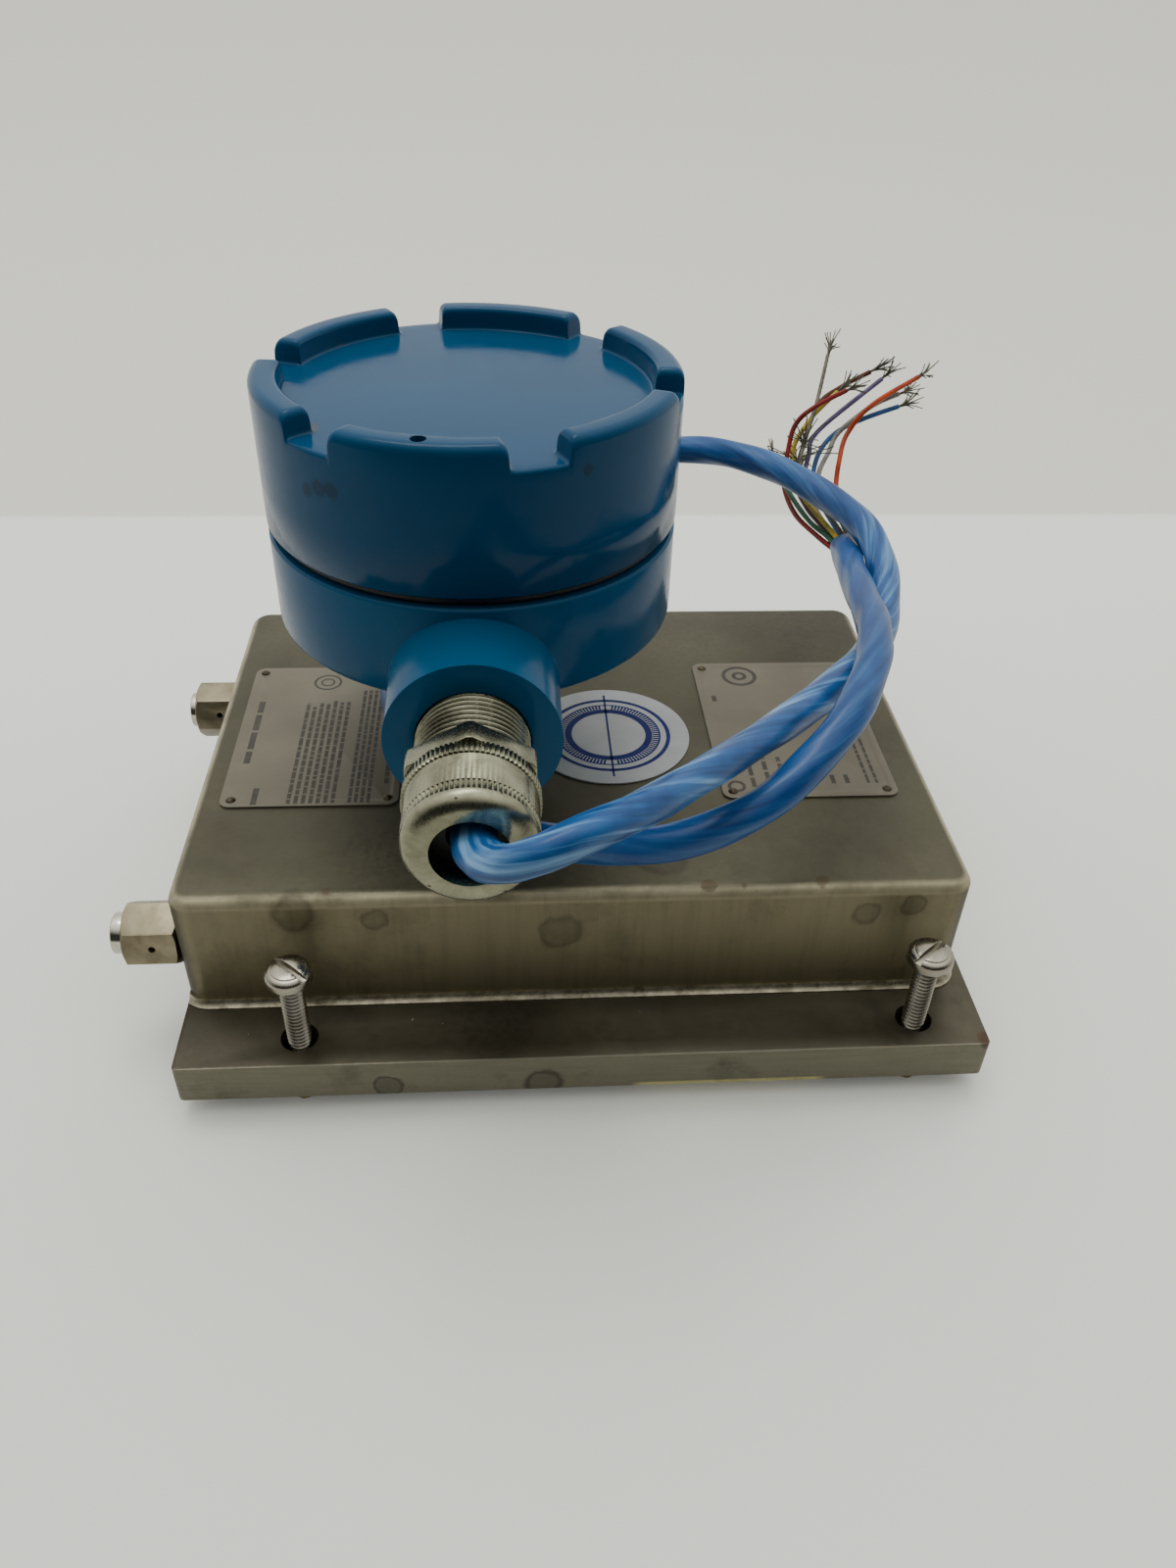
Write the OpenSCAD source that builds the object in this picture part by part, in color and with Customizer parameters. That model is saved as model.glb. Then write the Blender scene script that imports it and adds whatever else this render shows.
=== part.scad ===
// Twin-tube Coriolis mass flow meter: sensor case on a mounting plate, round junction box with a
// six-lug screw cover, cable gland and a loose coiled nine-wire cable. Millimetres, plate centre at
// X0 Y0, Z0 at the seats of the foot nuts, X to the right, Y away from the gland, Z up.

/* [Mounting plate] */
// plate's reach past the case on the right
plate_over = 4.6; // [2:0.1:20]
// hole row's distance from the plate's front and back edges
hole_edge = 9.75; // [8:0.05:20]
// plate thickness
plate_t = 12; // [8:0.5:16]
// hole spacing along X
hole_span_x = 162; // [140:0.5:170]
// hole row's distance from the case wall
hole_wall = 12; // [9:0.1:16]
// hole pattern centre right of the plate centre
hole_shift = 6.3; // [0:0.1:8]
// hole diameter
hole_d = 9.5; // [7:0.1:11]

/* [Screws and foot nuts] */
// quarter-inch screw major diameter
screw_d = 6.2; // [6:0.1:6.35]
// screw length under the head
screw_len = 38.1; // [36:0.1:39]
// screw thread pitch
screw_pitch = 1.27; // [1:0.01:1.5]
// height of the head's underside above the plate
screw_stand = 22; // [20:0.1:24]
// screw head diameter
screw_head_d = 11.8; // [10:0.1:13]
// screw head height
screw_head_h = 4; // [3:0.1:4.5]
// screwdriver slot width
slot_w = 1.6; // [1:0.1:2]
// foot nut width across flats
foot_nut_af = 11.1; // [10.5:0.1:12.7]
// foot nut height
foot_nut_h = 5.5; // [5:0.1:6.5]

/* [Sensor case] */
// case width along X
case_w = 206.5; // [200:0.5:208]
// case height above the plate
case_h = 36.8; // [36:0.1:42]
// sheet thickness
sheet_t = 2; // [1.5:0.1:2.5]
// radius of the upright corners
case_corner_r = 6; // [5:0.5:9]
// outer bend radius of the top edges
case_bend_r = 3.6; // [3:0.1:5]
// leg of the weld bead round the foot
weld_leg = 2; // [1.5:0.1:4]

/* [Plates on the case] */
// left nameplate width
left_plate_w = 48.5; // [40:0.5:50]
// right nameplate width
right_plate_w = 50; // [40:0.5:52]
// left nameplate's distance from the left wall
left_plate_in = 7.1; // [5:0.1:12]
// right nameplate's distance from the right wall
right_plate_in = 10.75; // [5:0.05:14]
// rivets' distance from the nameplate's edges
rivet_in = 3; // [2:0.1:5]
// nameplate depth
name_plate_d = 70.5; // [60:0.5:76]
// nameplate thickness
name_plate_t = 0.6; // [0.4:0.1:1]
// nameplate corner radius
name_plate_r = 3; // [1:0.5:5]
// rivet head diameter
rivet_head_d = 2.8; // [2.4:0.1:4.5]
// rivet shank diameter
rivet_d = 1.8; // [1.4:0.1:2.2]
// round badge diameter
badge_d = 48; // [40:0.5:50]
// round badge thickness
badge_t = 0.5; // [0.3:0.1:1]

/* [Flow tubes] */
// distance between the inlet and outlet axes
port_span = 104.8; // [100:0.1:108]
// inlet axis to the case's front wall
port_front = 11.55; // [11:0.05:20]
// outlet axis to the case's back wall
port_back = 29.15; // [20:0.05:40]
// port axis above the plate
port_z = 16; // [15:0.5:17]
// distance between the two stacked tubes
tube_gap = 13; // [12:0.5:14]
// flow tube diameter
tube_d = 4.8; // [4:0.1:5]
// flow tube wall
tube_wall = 0.5; // [0.3:0.05:0.8]
// bend radius of the tubes
tube_bend_r = 30; // [20:1:38]
// tubes' bend to the right wall
tube_end = 22.5; // [20:0.5:40]
// manifold block length
manifold_l = 16; // [14:0.5:20]
// manifold block width
manifold_w = 16; // [12:0.5:18]
// brace plate thickness
brace_t = 1.5; // [1:0.1:2]
// coil diameter
coil_d = 13; // [11:0.5:14]
// magnet diameter
magnet_d = 4.4; // [3.5:0.1:5]

/* [Process fittings] */
// fitting nut width across flats
fit_nut_af = 15.88; // [15.5:0.01:17]
// fitting nut length
fit_nut_l = 14; // [11:0.5:15]
// inlet nut's distance from the case wall
inlet_nut_gap = 0.6; // [0.4:0.1:3]
// outlet nut's distance from the case wall
outlet_nut_gap = 1.8; // [0.4:0.1:3]
// thread bore of the nut
fit_thread_d = 11.6; // [11.4:0.1:12.4]
// sealing head diameter
seal_head_d = 11; // [10.4:0.1:11]
// sealing head's face to the case wall
seal_reach = 18; // [17:0.1:20]
// pipe diameter behind the sealing head
stem_d = 7.9; // [7:0.1:8.4]
// flow bore
port_bore_d = 4.6; // [3:0.1:5]
// leak test hole in each nut
leak_hole_d = 1.8; // [1:0.1:2]

/* [Neck and junction box] */
// head axis left of the plate centre
head_shift = 27.5; // [20:0.5:32]
// pipe neck diameter
neck_d = 26.7; // [25:0.1:27]
// pipe neck bore
neck_bore_d = 20; // [17:0.5:21]
// clear height between case and hub
neck_rise = 23.7; // [22:0.1:30]
// hub diameter
hub_d = 46; // [42:0.5:48]
// hub height
hub_h = 17.5; // [15:0.5:20]
// junction box diameter
box_d = 105.4; // [100:0.1:108]
// junction box height from its floor's underside to its lip
box_h = 28.8; // [27:0.1:32]
// floor thickness
floor_t = 3.5; // [3:0.1:5]
// wall of the threaded spigot
spigot_wall = 4.3; // [3.5:0.1:8]
// spigot's distance from the box's outside
spigot_in = 4.4; // [4:0.1:6]
// threaded spigot height
spigot_h = 13.7; // [13.5:0.1:15]
// thread pitch, twelve turns to the inch
cover_pitch = 2.1167; // [1.5:0.0001:3]
// gland boss diameter
boss_d = 41.2; // [36:0.1:42]
// boss face to the box's outside
boss_out = 19.7; // [17:0.1:24]

/* [Terminals] */
// free space at each end of the terminal block
block_end = 12; // [10:0.5:16]
// terminal block depth
block_d = 16; // [14:0.5:18]
// terminal block height
block_h = 12; // [11:0.1:14]
// terminal block's front face behind the head axis
block_y = 4; // [2:0.5:8]
// end margin that holds the fixing screws
block_ear = 8.6; // [8:0.1:10]

/* [Screw cover] */
// cover's reach past the box all round
cover_over = 0.1; // [0:0.05:2]
// cover height from its lip to its disc
cover_h = 30.2; // [28:0.1:34]
// gap between the box and the cover's lip
lip_gap = 2.6; // [2:0.1:3]
// roof thickness
roof_t = 4.5; // [3:0.1:6]
// height of the six lugs
lug_h = 5.8; // [4:0.1:7]
// radial thickness of the lugs
lug_t = 7.2; // [5:0.1:9]
// arc of each lug in degrees
lug_arc = 44.4; // [38:0.1:50]
// turn of the first lug from the X axis in degrees
lug_turn = 17.85; // [0:0.05:60]
// rounding of the outer rim
rim_r = 2.5; // [1:0.1:3]
// rounding of the lugs' inner edge
lug_edge_r = 1.5; // [0.5:0.1:2]
// locking-screw hole in the front lug
lock_d = 3.6; // [2:0.1:5]
// depth of the locking-screw hole
lock_l = 8; // [4:0.5:9]
// turn of the locking-screw hole from the X axis in degrees
lock_turn = -101.7; // [-104:0.1:-90]
// section diameter of the cover's O-ring
ring_d = 2.8; // [2.5:0.1:3]

/* [Cable gland] */
// length of the gland's thread inside the boss
gland_in_l = 14.4; // [10:0.1:16]
// pipe thread diameter
gland_thread_d = 26.6; // [26:0.1:26.7]
// visible length of the pipe thread
gland_thread_l = 14.2; // [12:0.1:16]
// thread pitch, fourteen turns to the inch
gland_pitch = 1.81; // [1.5:0.01:2]
// length of the hexagon
gland_hex_l = 6; // [5:0.1:8]
// hexagon width across flats
gland_hex_af = 28; // [27:0.1:30]
// knurled ring length
knurl_l = 3.5; // [2:0.1:5]
// cap diameter over the knurl
knurl_d = 30; // [29:0.1:31]
// smooth band length
band_l = 8.6; // [6:0.1:10]
// smooth band diameter
band_d = 29; // [28:0.1:29.5]
// second knurl length
tooth_l = 2.9; // [2:0.1:4]
// dome length
dome_l = 3.7; // [3:0.1:5]
// mouth of the cap
mouth_d = 17; // [16:0.1:19]

/* [Cable] */
// jacket diameter
cable_d = 9; // [8:0.1:9.2]
// conductor diameter
wire_d = 1.7; // [1.2:0.1:1.8]

/* [Hidden] */
$fn = 96;
clear = 0.05;
e = 0.5;
inch_hex = 2 / sqrt(3);

case_d = port_span + port_front + port_back;
plate_w = case_w + plate_over;
case_shift = plate_over / 2;
port_shift = (port_back - port_front) / 2;
hole_span_y = case_d + 2 * hole_wall;
plate_d = hole_span_y + 2 * hole_edge;
plate_z = foot_nut_h;
deck_z = plate_z + plate_t;
case_top = deck_z + case_h;
wall_x = -case_shift - case_w / 2;
head_x = -head_shift;
hub_z = case_top + neck_rise;
box_z = hub_z + hub_h;
floor_z = box_z + floor_t;
lip_z = box_z + box_h;
cover_z = lip_z + lip_gap;
disc_z = cover_z + cover_h;
boss_z = box_z + 6;

screw_x = [hole_shift - hole_span_x / 2, hole_shift + hole_span_x / 2];
screw_y = [-hole_span_y / 2, hole_span_y / 2];
slot_turn = [[-40, 38], [15, -65]];

left_x = wall_x + left_plate_in;
right_x = wall_x + case_w - right_plate_in - right_plate_w;
name_y = -0.5 - name_plate_d / 2;
badge_at = [head_x + 37.8, -4];

inlet_y = -port_shift - port_span / 2;
outlet_y = -port_shift + port_span / 2;
axis_z = deck_z + port_z;
tube_z = [axis_z - tube_gap / 2, axis_z + tube_gap / 2];
manifold_x = wall_x + sheet_t + 6;
inlet_nut_x = wall_x - inlet_nut_gap;
outlet_nut_x = wall_x - outlet_nut_gap;
tube_x = manifold_x + manifold_l / 2;
bend_x = wall_x + case_w - tube_end;
pick_x = manifold_x + (bend_x - manifold_x) * 7 / 11;
brace_x = tube_x + 24;

box_r = box_d / 2;
boss_reach = box_r + boss_out;
cover_r = box_r + cover_over;
thread_r = box_r - spigot_in;
cavity_r = thread_r - spigot_wall;
block_w = 2 * (cavity_r - block_end);
term_pitch = (block_w - 2 * block_ear) / 9;
cover_bore_r = thread_r + 0.3;
ring_r = thread_r + 0.3 + ring_d / 2;

gland_hex_y = -boss_reach - gland_thread_l;
cap_y = gland_hex_y - gland_hex_l;
tooth_y = cap_y - knurl_l - band_l;
mouth_y = tooth_y - tooth_l - dome_l;

// The cable and its wires, measured from the head axis at the height of the boss.
CABLE = [
    [0, -86, 0], [0, -96, 0], [0.5, -105, 0], [2, -113.5, 2], [6, -120.5, 5.5],
    [13, -124, 10.5], [22, -120.5, 12.5], [33, -111, 10], [46.5, -95.5, 5.5], [63, -76.5, 1],
    [79, -58, -2.5], [94, -40.5, -4.5], [107, -21, -7], [115, -1, -7], [119, 19, -3.5],
    [117.5, 38, 0], [109.5, 57.5, 1.5], [95.5, 77, 3], [77.5, 92.5, 2], [56.5, 102.5, -3],
    [33.5, 104, -9.5], [11.5, 96.5, -16], [-7, 80.5, -23], [-19, 59, -30.5], [-25, 33, -36],
    [-25, 6, -37], [-19.5, -20, -37], [-8.5, -44.5, -35.5], [7.5, -65, -32], [26, -77.5, -27],
    [45, -86.5, -19], [64, -85.5, -10.5], [78.5, -76.5, -3], [89.5, -64.5, 2.5], [99, -44.5, 4],
    [104, -25, 2.5], [106.5, -3.5, -1], [108.8, 17.5, -4.8], [112.4, 40.5, -9.6]
];
// Each wire leaves its own place in the jacket's end, then fans out; measured from the jacket's end.
RED = [[-6, 11, -1.5], [-10, 28, -1.5], [-10.5, 46, 1], [-8.5, 54.5, 9], [-5.5, 60.5, 16.5],
    [1.5, 64, 21.5], [16.5, 73.5, 25]];
BROWN = [[-3, 14, -0.5], [-5.5, 32, -0.8], [-6, 48, 1.2], [-2, 61, 6.5], [5.5, 76.5, 17],
    [15, 83.5, 21.5], [29, 88, 27]];
YELLOW = [[-3.5, 12, 2], [-6.5, 31, 2.5], [-7.5, 47, 4.5], [-5.5, 59, 9], [0, 67, 14], [6, 73, 18],
    [15, 80, 23]];
VIOLET = [[-0.5, 15, -2.5], [-2, 34, -2], [-2.5, 49, 0.5], [0.5, 60, 5.5], [5, 68, 11.5], [32, 85, 26]];
BLUE = [[2, 17, -2.5], [1, 35, -2], [0.5, 49, 0], [3.5, 59, 6], [10, 65, 11.5], [21, 69, 15.5],
    [37, 74, 19]];
ORANGE = [[4.5, 14, 0], [5.5, 30, -0.5], [7, 43, 1], [9, 51, 7.5], [13, 60, 13.5], [22, 66, 21.5],
    [45, 85, 26]];
WHITE = [[2, 15, 2], [1.5, 35, 1.5], [2, 49, 3], [6.5, 57, 8], [11, 63, 13], [24, 71, 19.5],
    [37, 77, 22.5]];
GREEN = [[-4.2, 8, 0.4], [-7.5, 16, 0.9], [-9.7, 30, 1.4], [-11.8, 43, 3.6], [-13, 54, 6.5]];
DRAIN = [[-1, 12, 3], [-3.5, 31, 2.8], [-4.5, 48, 4.5], [-3.5, 55, 8.5], [3.5, 71, 19.5],
    [10.5, 90, 33.5]];

// ---------- shared forms ----------
module hexagon(af, l) {
    cylinder(d = af * inch_hex, h = l, $fn = 6);
}

module rounded_plan(l, w, r) {
    square([l - 2 * r, w], center = true);
    square([l, w - 2 * r], center = true);
    for (x = [-1, 1], y = [-1, 1])
        translate([x * (l / 2 - r), y * (w / 2 - r)]) circle(r);
}

// Half section of a wall with a rounded top, reach measured from the corner's axis.
module bent_edge(reach, high, r) {
    difference() {
        square([reach, high]);
        difference() {
            translate([reach - r, high - r]) square(r + 1);
            translate([reach - r, high - r]) circle(r);
        }
    }
}

module pressed_box(l, w, h, rp, rt) {
    for (x = [0, 1], y = [0, 1])
        mirror([x, 0, 0]) mirror([0, y, 0])
            translate([l / 2 - rp, w / 2 - rp, 0])
                rotate_extrude(angle = 90) bent_edge(rp, h, rt);
    for (k = [0 : 3]) {
        across = k % 2 == 0 ? w : l;
        along = k % 2 == 0 ? l : w;
        rotate([0, 0, 90 * k]) translate([0, across / 2 - rp, 0]) rotate([90, 0, 90])
            linear_extrude(along - 2 * rp, center = true) bent_edge(rp, h, rt);
    }
    translate([0, 0, h / 2]) cube([l - 2 * rp, w - 2 * rp, h], center = true);
}

// Ridged shank: depth is measured from the crest, the last half turn is tapered off.
module thread_profile(r, l, pitch, depth) {
    n = floor(l / pitch);
    polygon(concat(
        [[0, 0], [r - depth, 0]],
        [for (i = [0 : n - 1]) each [[r, (i + 0.5) * pitch], [r - depth, (i + 1) * pitch]]],
        [[r - depth, l], [0, l]]
    ));
}

module knurled(d, l, teeth, deep) {
    linear_extrude(l) difference() {
        circle(d = d);
        for (i = [0 : teeth - 1]) rotate(i * 360 / teeth) translate([d / 2, 0])
            rotate(45) square(deep, center = true);
    }
}

// ---------- plate, screws and nuts ----------
module at_screws() {
    for (i = [0, 1], j = [0, 1]) translate([screw_x[i], screw_y[j], 0]) children();
}

module mounting_plate() {
    color("dimgray") translate([0, 0, plate_z]) linear_extrude(plate_t) difference() {
        rounded_plan(plate_w, plate_d, 1.5);
        at_screws() circle(d = hole_d);
    }
}

module foot_nuts() {
    color("goldenrod") at_screws() difference() {
        intersection() {
            rotate([0, 0, -90]) hexagon(foot_nut_af, foot_nut_h);
            rotate_extrude() polygon([
                [0, 0], [foot_nut_af / 2, 0], [foot_nut_af / 2 + 1, 0.6],
                [foot_nut_af / 2 + 1, foot_nut_h - 0.6], [foot_nut_af / 2, foot_nut_h], [0, foot_nut_h]
            ]);
        }
        translate([0, 0, -1]) cylinder(d = screw_d + 2 * clear, h = foot_nut_h + 2);
    }
}

// Pan head: slightly domed top, rounded shoulder, short straight side.
module pan_section(r, h, dome, shoulder) {
    dome_r = (pow(r, 2) + pow(dome, 2)) / 2 / dome;
    intersection() {
        translate([0, h - dome_r]) circle(dome_r);
        union() {
            square([r, h - dome - shoulder]);
            square([r - shoulder, h]);
            translate([r - shoulder, h - dome - shoulder]) circle(shoulder);
        }
        square([r, h]);
    }
}

module mounting_screw() {
    translate([0, 0, -screw_len])
        rotate_extrude() thread_profile(screw_d / 2, screw_len, screw_pitch, 0.7);
    difference() {
        rotate_extrude() pan_section(screw_head_d / 2, screw_head_h, 0.7, 1.7);
        translate([0, 0, screw_head_h]) cube([screw_head_d + 2, slot_w, 3.4], center = true);
    }
}

module mounting_screws() {
    color("silver") for (i = [0, 1], j = [0, 1])
        translate([screw_x[i], screw_y[j], deck_z + screw_stand])
            rotate([0, 0, slot_turn[j][i]]) mounting_screw();
}

// ---------- sensor case ----------
module at_rivets() {
    for (p = [[left_x, left_plate_w], [right_x, right_plate_w]], i = [0, 1], j = [0, 1])
        translate([
            p[0] + (i == 0 ? rivet_in : p[1] - rivet_in),
            name_y + (j == 0 ? rivet_in : name_plate_d - rivet_in),
            case_top
        ]) children();
}

module at_ports() {
    for (y = [inlet_y, outlet_y]) translate([wall_x, y, axis_z]) rotate([0, 90, 0]) children();
}

module case_shell() {
    color("gray") difference() {
        translate([-case_shift, 0, deck_z]) difference() {
            pressed_box(case_w, case_d, case_h, case_corner_r, case_bend_r);
            translate([0, 0, -1]) pressed_box(
                case_w - 2 * sheet_t, case_d - 2 * sheet_t, case_h - sheet_t + 1,
                case_corner_r - sheet_t, case_bend_r - sheet_t
            );
        }
        translate([head_x, 0, case_top - sheet_t - 1]) cylinder(d = neck_bore_d, h = sheet_t + 2);
        at_ports() translate([0, 0, -1]) cylinder(d = stem_d + 2 * clear, h = sheet_t + 2);
        at_rivets() translate([0, 0, -sheet_t - 1]) cylinder(d = rivet_d + 2 * clear, h = sheet_t + 2);
    }
}

module bead_section() {
    difference() {
        square(weld_leg);
        translate([weld_leg * 1.6, weld_leg * 1.6]) circle(weld_leg * 1.45);
    }
}

module case_weld() {
    l = case_w - 2 * case_corner_r;
    w = case_d - 2 * case_corner_r;
    color("slategray") intersection() {
        translate([-case_shift, 0, deck_z]) {
            for (x = [0, 1], y = [0, 1]) mirror([x, 0, 0]) mirror([0, y, 0])
                translate([l / 2, w / 2, 0]) rotate_extrude(angle = 90)
                    translate([case_corner_r, 0]) bead_section();
            for (k = [0, 2, 3]) rotate([0, 0, 90 * k])
                translate([0, (k % 2 == 0 ? case_d : case_w) / 2, 0]) rotate([90, 0, 90])
                    linear_extrude(k % 2 == 0 ? l : w, center = true) bead_section();
        }
        translate([wall_x + 0.4, -plate_d / 2, deck_z - 1]) cube([plate_w, plate_d, weld_leg + 2]);
    }
}

module nameplate(x, w) {
    difference() {
        translate([x + w / 2, name_y + name_plate_d / 2, case_top])
            linear_extrude(name_plate_t) rounded_plan(w, name_plate_d, name_plate_r);
        at_rivets() translate([0, 0, -1]) cylinder(d = rivet_d + 2 * clear, h = name_plate_t + 2);
    }
}

module left_nameplate() {
    color("lightgray") nameplate(left_x, left_plate_w);
}

module right_nameplate() {
    color("lightgray") nameplate(right_x, right_plate_w);
}

module nameplate_rivets() {
    color("darkkhaki") at_rivets() {
        translate([0, 0, -sheet_t - 1]) cylinder(d = rivet_d, h = sheet_t + 1 + name_plate_t);
        translate([0, 0, name_plate_t]) intersection() {
            cylinder(d = rivet_head_d, h = rivet_head_d / 4);
            translate([0, 0, -rivet_head_d * 0.375]) sphere(rivet_head_d * 0.625);
        }
    }
}

module round_badge() {
    color("white") translate([badge_at[0], badge_at[1], case_top]) cylinder(d = badge_d, h = badge_t);
}

// ---------- process fittings ----------
module fitting(y) {
    translate([wall_x - seal_reach, y, axis_z]) rotate([0, 90, 0]) difference() {
        union() {
            cylinder(d = seal_head_d, h = 4);
            cylinder(d = stem_d, h = manifold_x - wall_x + seal_reach);
        }
        translate([0, 0, -1]) cylinder(d = port_bore_d, h = 60);
    }
}

module inlet_fitting() {
    color("silver") fitting(inlet_y);
}

module outlet_fitting() {
    color("silver") fitting(outlet_y);
}

// Swivel nut: mouth and thread towards -X, shoulder towards the case, turn sets the hexagon.
module fitting_nut(x, y, turn) {
    flat_r = fit_nut_af / 2;
    translate([x - fit_nut_l, y, axis_z]) rotate([0, 90, 0]) difference() {
        intersection() {
            rotate([0, 0, turn]) hexagon(fit_nut_af, fit_nut_l);
            rotate_extrude() polygon([
                [0, 0], [flat_r - 0.3, 0], [flat_r + 1.7, 1.2],
                [flat_r + 1.7, fit_nut_l - 0.8], [flat_r + 0.3, fit_nut_l], [0, fit_nut_l]
            ]);
        }
        translate([0, 0, -1]) cylinder(d = fit_thread_d, h = fit_nut_l - 2);
        translate([0, 0, -1]) cylinder(d = stem_d + 0.6, h = fit_nut_l + 2);
        rotate([0, 0, turn - 150]) translate([0, 0, fit_nut_l - 6.2]) rotate([0, 90, 0])
            cylinder(d = leak_hole_d, h = flat_r + 2);
    }
}

module inlet_nut() {
    color("darkgray") fitting_nut(inlet_nut_x, inlet_y, 51.2);
}

module outlet_nut() {
    color("darkgray") fitting_nut(outlet_nut_x, outlet_y, 40.2);
}

// ---------- flow tubes ----------
module manifold(y) {
    reach = tube_z[1] + tube_d + 2 - deck_z;
    difference() {
        translate([manifold_x, y - manifold_w / 2, deck_z]) cube([manifold_l, manifold_w, reach]);
        for (z = tube_z) translate([tube_x, y, z]) rotate([0, 90, 0])
            cylinder(d = tube_d + 2 * clear, h = manifold_l);
        translate([manifold_x + 4, y, tube_z[0] - tube_d / 2])
            cylinder(d = port_bore_d + 1, h = tube_gap + tube_d);
        for (z = tube_z) translate([manifold_x + 4, y, z]) rotate([0, 90, 0])
            cylinder(d = tube_d - 2 * tube_wall, h = manifold_l / 2);
        translate([manifold_x - 1, y, axis_z]) rotate([0, 90, 0]) cylinder(d = port_bore_d, h = 5);
    }
}

module inlet_manifold() {
    color("silver") manifold(inlet_y);
}

module outlet_manifold() {
    color("silver") manifold(outlet_y);
}

module tube_section() {
    difference() {
        circle(d = tube_d);
        circle(d = tube_d - 2 * tube_wall);
    }
}

// One loop: out along the inlet side, across the bend, back along the outlet side.
module flow_tube(z) {
    leg = bend_x - tube_bend_r - tube_x;
    for (y = [inlet_y, outlet_y]) translate([tube_x, y, z]) rotate([0, 90, 0])
        linear_extrude(leg) tube_section();
    translate([bend_x - tube_bend_r, inlet_y + tube_bend_r, z]) rotate([0, 0, -90])
        rotate_extrude(angle = 90) translate([tube_bend_r, 0]) tube_section();
    translate([bend_x - tube_bend_r, outlet_y - tube_bend_r, z])
        rotate_extrude(angle = 90) translate([tube_bend_r, 0]) tube_section();
    translate([bend_x, inlet_y + tube_bend_r, z]) rotate([-90, 0, 0])
        linear_extrude(port_span - 2 * tube_bend_r) tube_section();
}

module lower_flow_tube() {
    color("silver") flow_tube(tube_z[0]);
}

module upper_flow_tube() {
    color("silver") flow_tube(tube_z[1]);
}

module brace(y) {
    translate([brace_x, y, axis_z]) rotate([0, 90, 0]) linear_extrude(brace_t) difference() {
        rounded_plan(tube_gap + tube_d + 5, tube_d + 5, 2);
        for (z = [-1, 1]) translate([z * tube_gap / 2, 0]) circle(d = tube_d + 2 * clear);
    }
}

module inlet_brace() {
    color("silver") brace(inlet_y);
}

module outlet_brace() {
    color("silver") brace(outlet_y);
}

// Coil on the lower tube, magnet on the upper one: the magnet dips into the coil's bore.
module coil(at, turn) {
    translate([at[0], at[1], 0]) rotate([0, 0, turn]) difference() {
        union() {
            translate([0, 0, tube_z[0]]) cube([10, tube_d + 3, tube_d + 2], center = true);
            translate([0, 0, tube_z[0] + tube_d / 2 + 1 - e]) cylinder(d = coil_d, h = 5 + e);
        }
        translate([0, 0, tube_z[0]]) rotate([0, 90, 0])
            cylinder(d = tube_d + 2 * clear, h = 20, center = true);
        translate([0, 0, tube_z[0] + tube_d / 2 + 2]) cylinder(d = magnet_d + 1.6, h = 9);
    }
}

module magnet(at, turn) {
    translate([at[0], at[1], 0]) rotate([0, 0, turn]) difference() {
        union() {
            translate([0, 0, tube_z[1]]) cube([8, tube_d + 3, tube_d + 2], center = true);
            translate([0, 0, tube_z[0] + tube_d / 2 + 3])
                cylinder(d = magnet_d, h = tube_gap - tube_d - 3);
        }
        translate([0, 0, tube_z[1]]) rotate([0, 90, 0])
            cylinder(d = tube_d + 2 * clear, h = 20, center = true);
    }
}

module drive_coil() {
    color("brown") coil([bend_x, -port_shift], 90);
}

module drive_magnet() {
    color("gray") magnet([bend_x, -port_shift], 90);
}

module inlet_pickoff_coil() {
    color("brown") coil([pick_x, inlet_y], 0);
}

module inlet_pickoff_magnet() {
    color("gray") magnet([pick_x, inlet_y], 0);
}

module outlet_pickoff_coil() {
    color("brown") coil([pick_x, outlet_y], 0);
}

module outlet_pickoff_magnet() {
    color("gray") magnet([pick_x, outlet_y], 0);
}

module temperature_sensor() {
    color("white") translate([brace_x + 12, inlet_y, tube_z[0] + tube_d / 2 + 1.25]) rotate([0, 90, 0])
        cylinder(d = 2.4, h = 12);
}

// ---------- neck and junction box ----------
module neck() {
    color("steelblue") translate([head_x, 0, case_top]) difference() {
        cylinder(d = neck_d, h = neck_rise + hub_h - 4);
        translate([0, 0, -1]) cylinder(d = neck_bore_d, h = neck_rise + hub_h);
    }
}

module feedthrough() {
    color("darkslategray") translate([head_x, 0, case_top + 6]) {
        cylinder(d = neck_bore_d - 2 * clear, h = 4);
        for (i = [0 : 8]) rotate([0, 0, i * 40]) translate([6.5, 0, -5]) cylinder(d = 1.2, h = 14);
    }
}

module at_block_screws() {
    for (x = [-1, 1]) translate([head_x + x * (block_w / 2 - 5), block_y + block_d - 4, floor_z])
        children();
}

module at_terminals() {
    for (i = [-4 : 4]) translate([head_x + i * term_pitch, block_y + block_d / 2, floor_z]) children();
}

module at_ground() {
    translate([head_x + cavity_r - 20, -14, floor_z]) children();
}

module box_section() {
    r = box_r;
    low = [for (a = [0 : 10 : 90]) [r - 16.5 + 16.5 * cos(a), box_z + 5.5 - 5.5 * sin(a)]];
    polygon(concat(
        [[0, box_z]], [for (i = [len(low) - 1 : -1 : 0]) low[i]],
        [[r, lip_z - 0.6], [r - 0.6, lip_z], [thread_r - 1, lip_z]],
        [[thread_r - 1, lip_z + spigot_h], [cavity_r, lip_z + spigot_h], [cavity_r, floor_z],
         [0, floor_z]]
    ));
}

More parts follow.
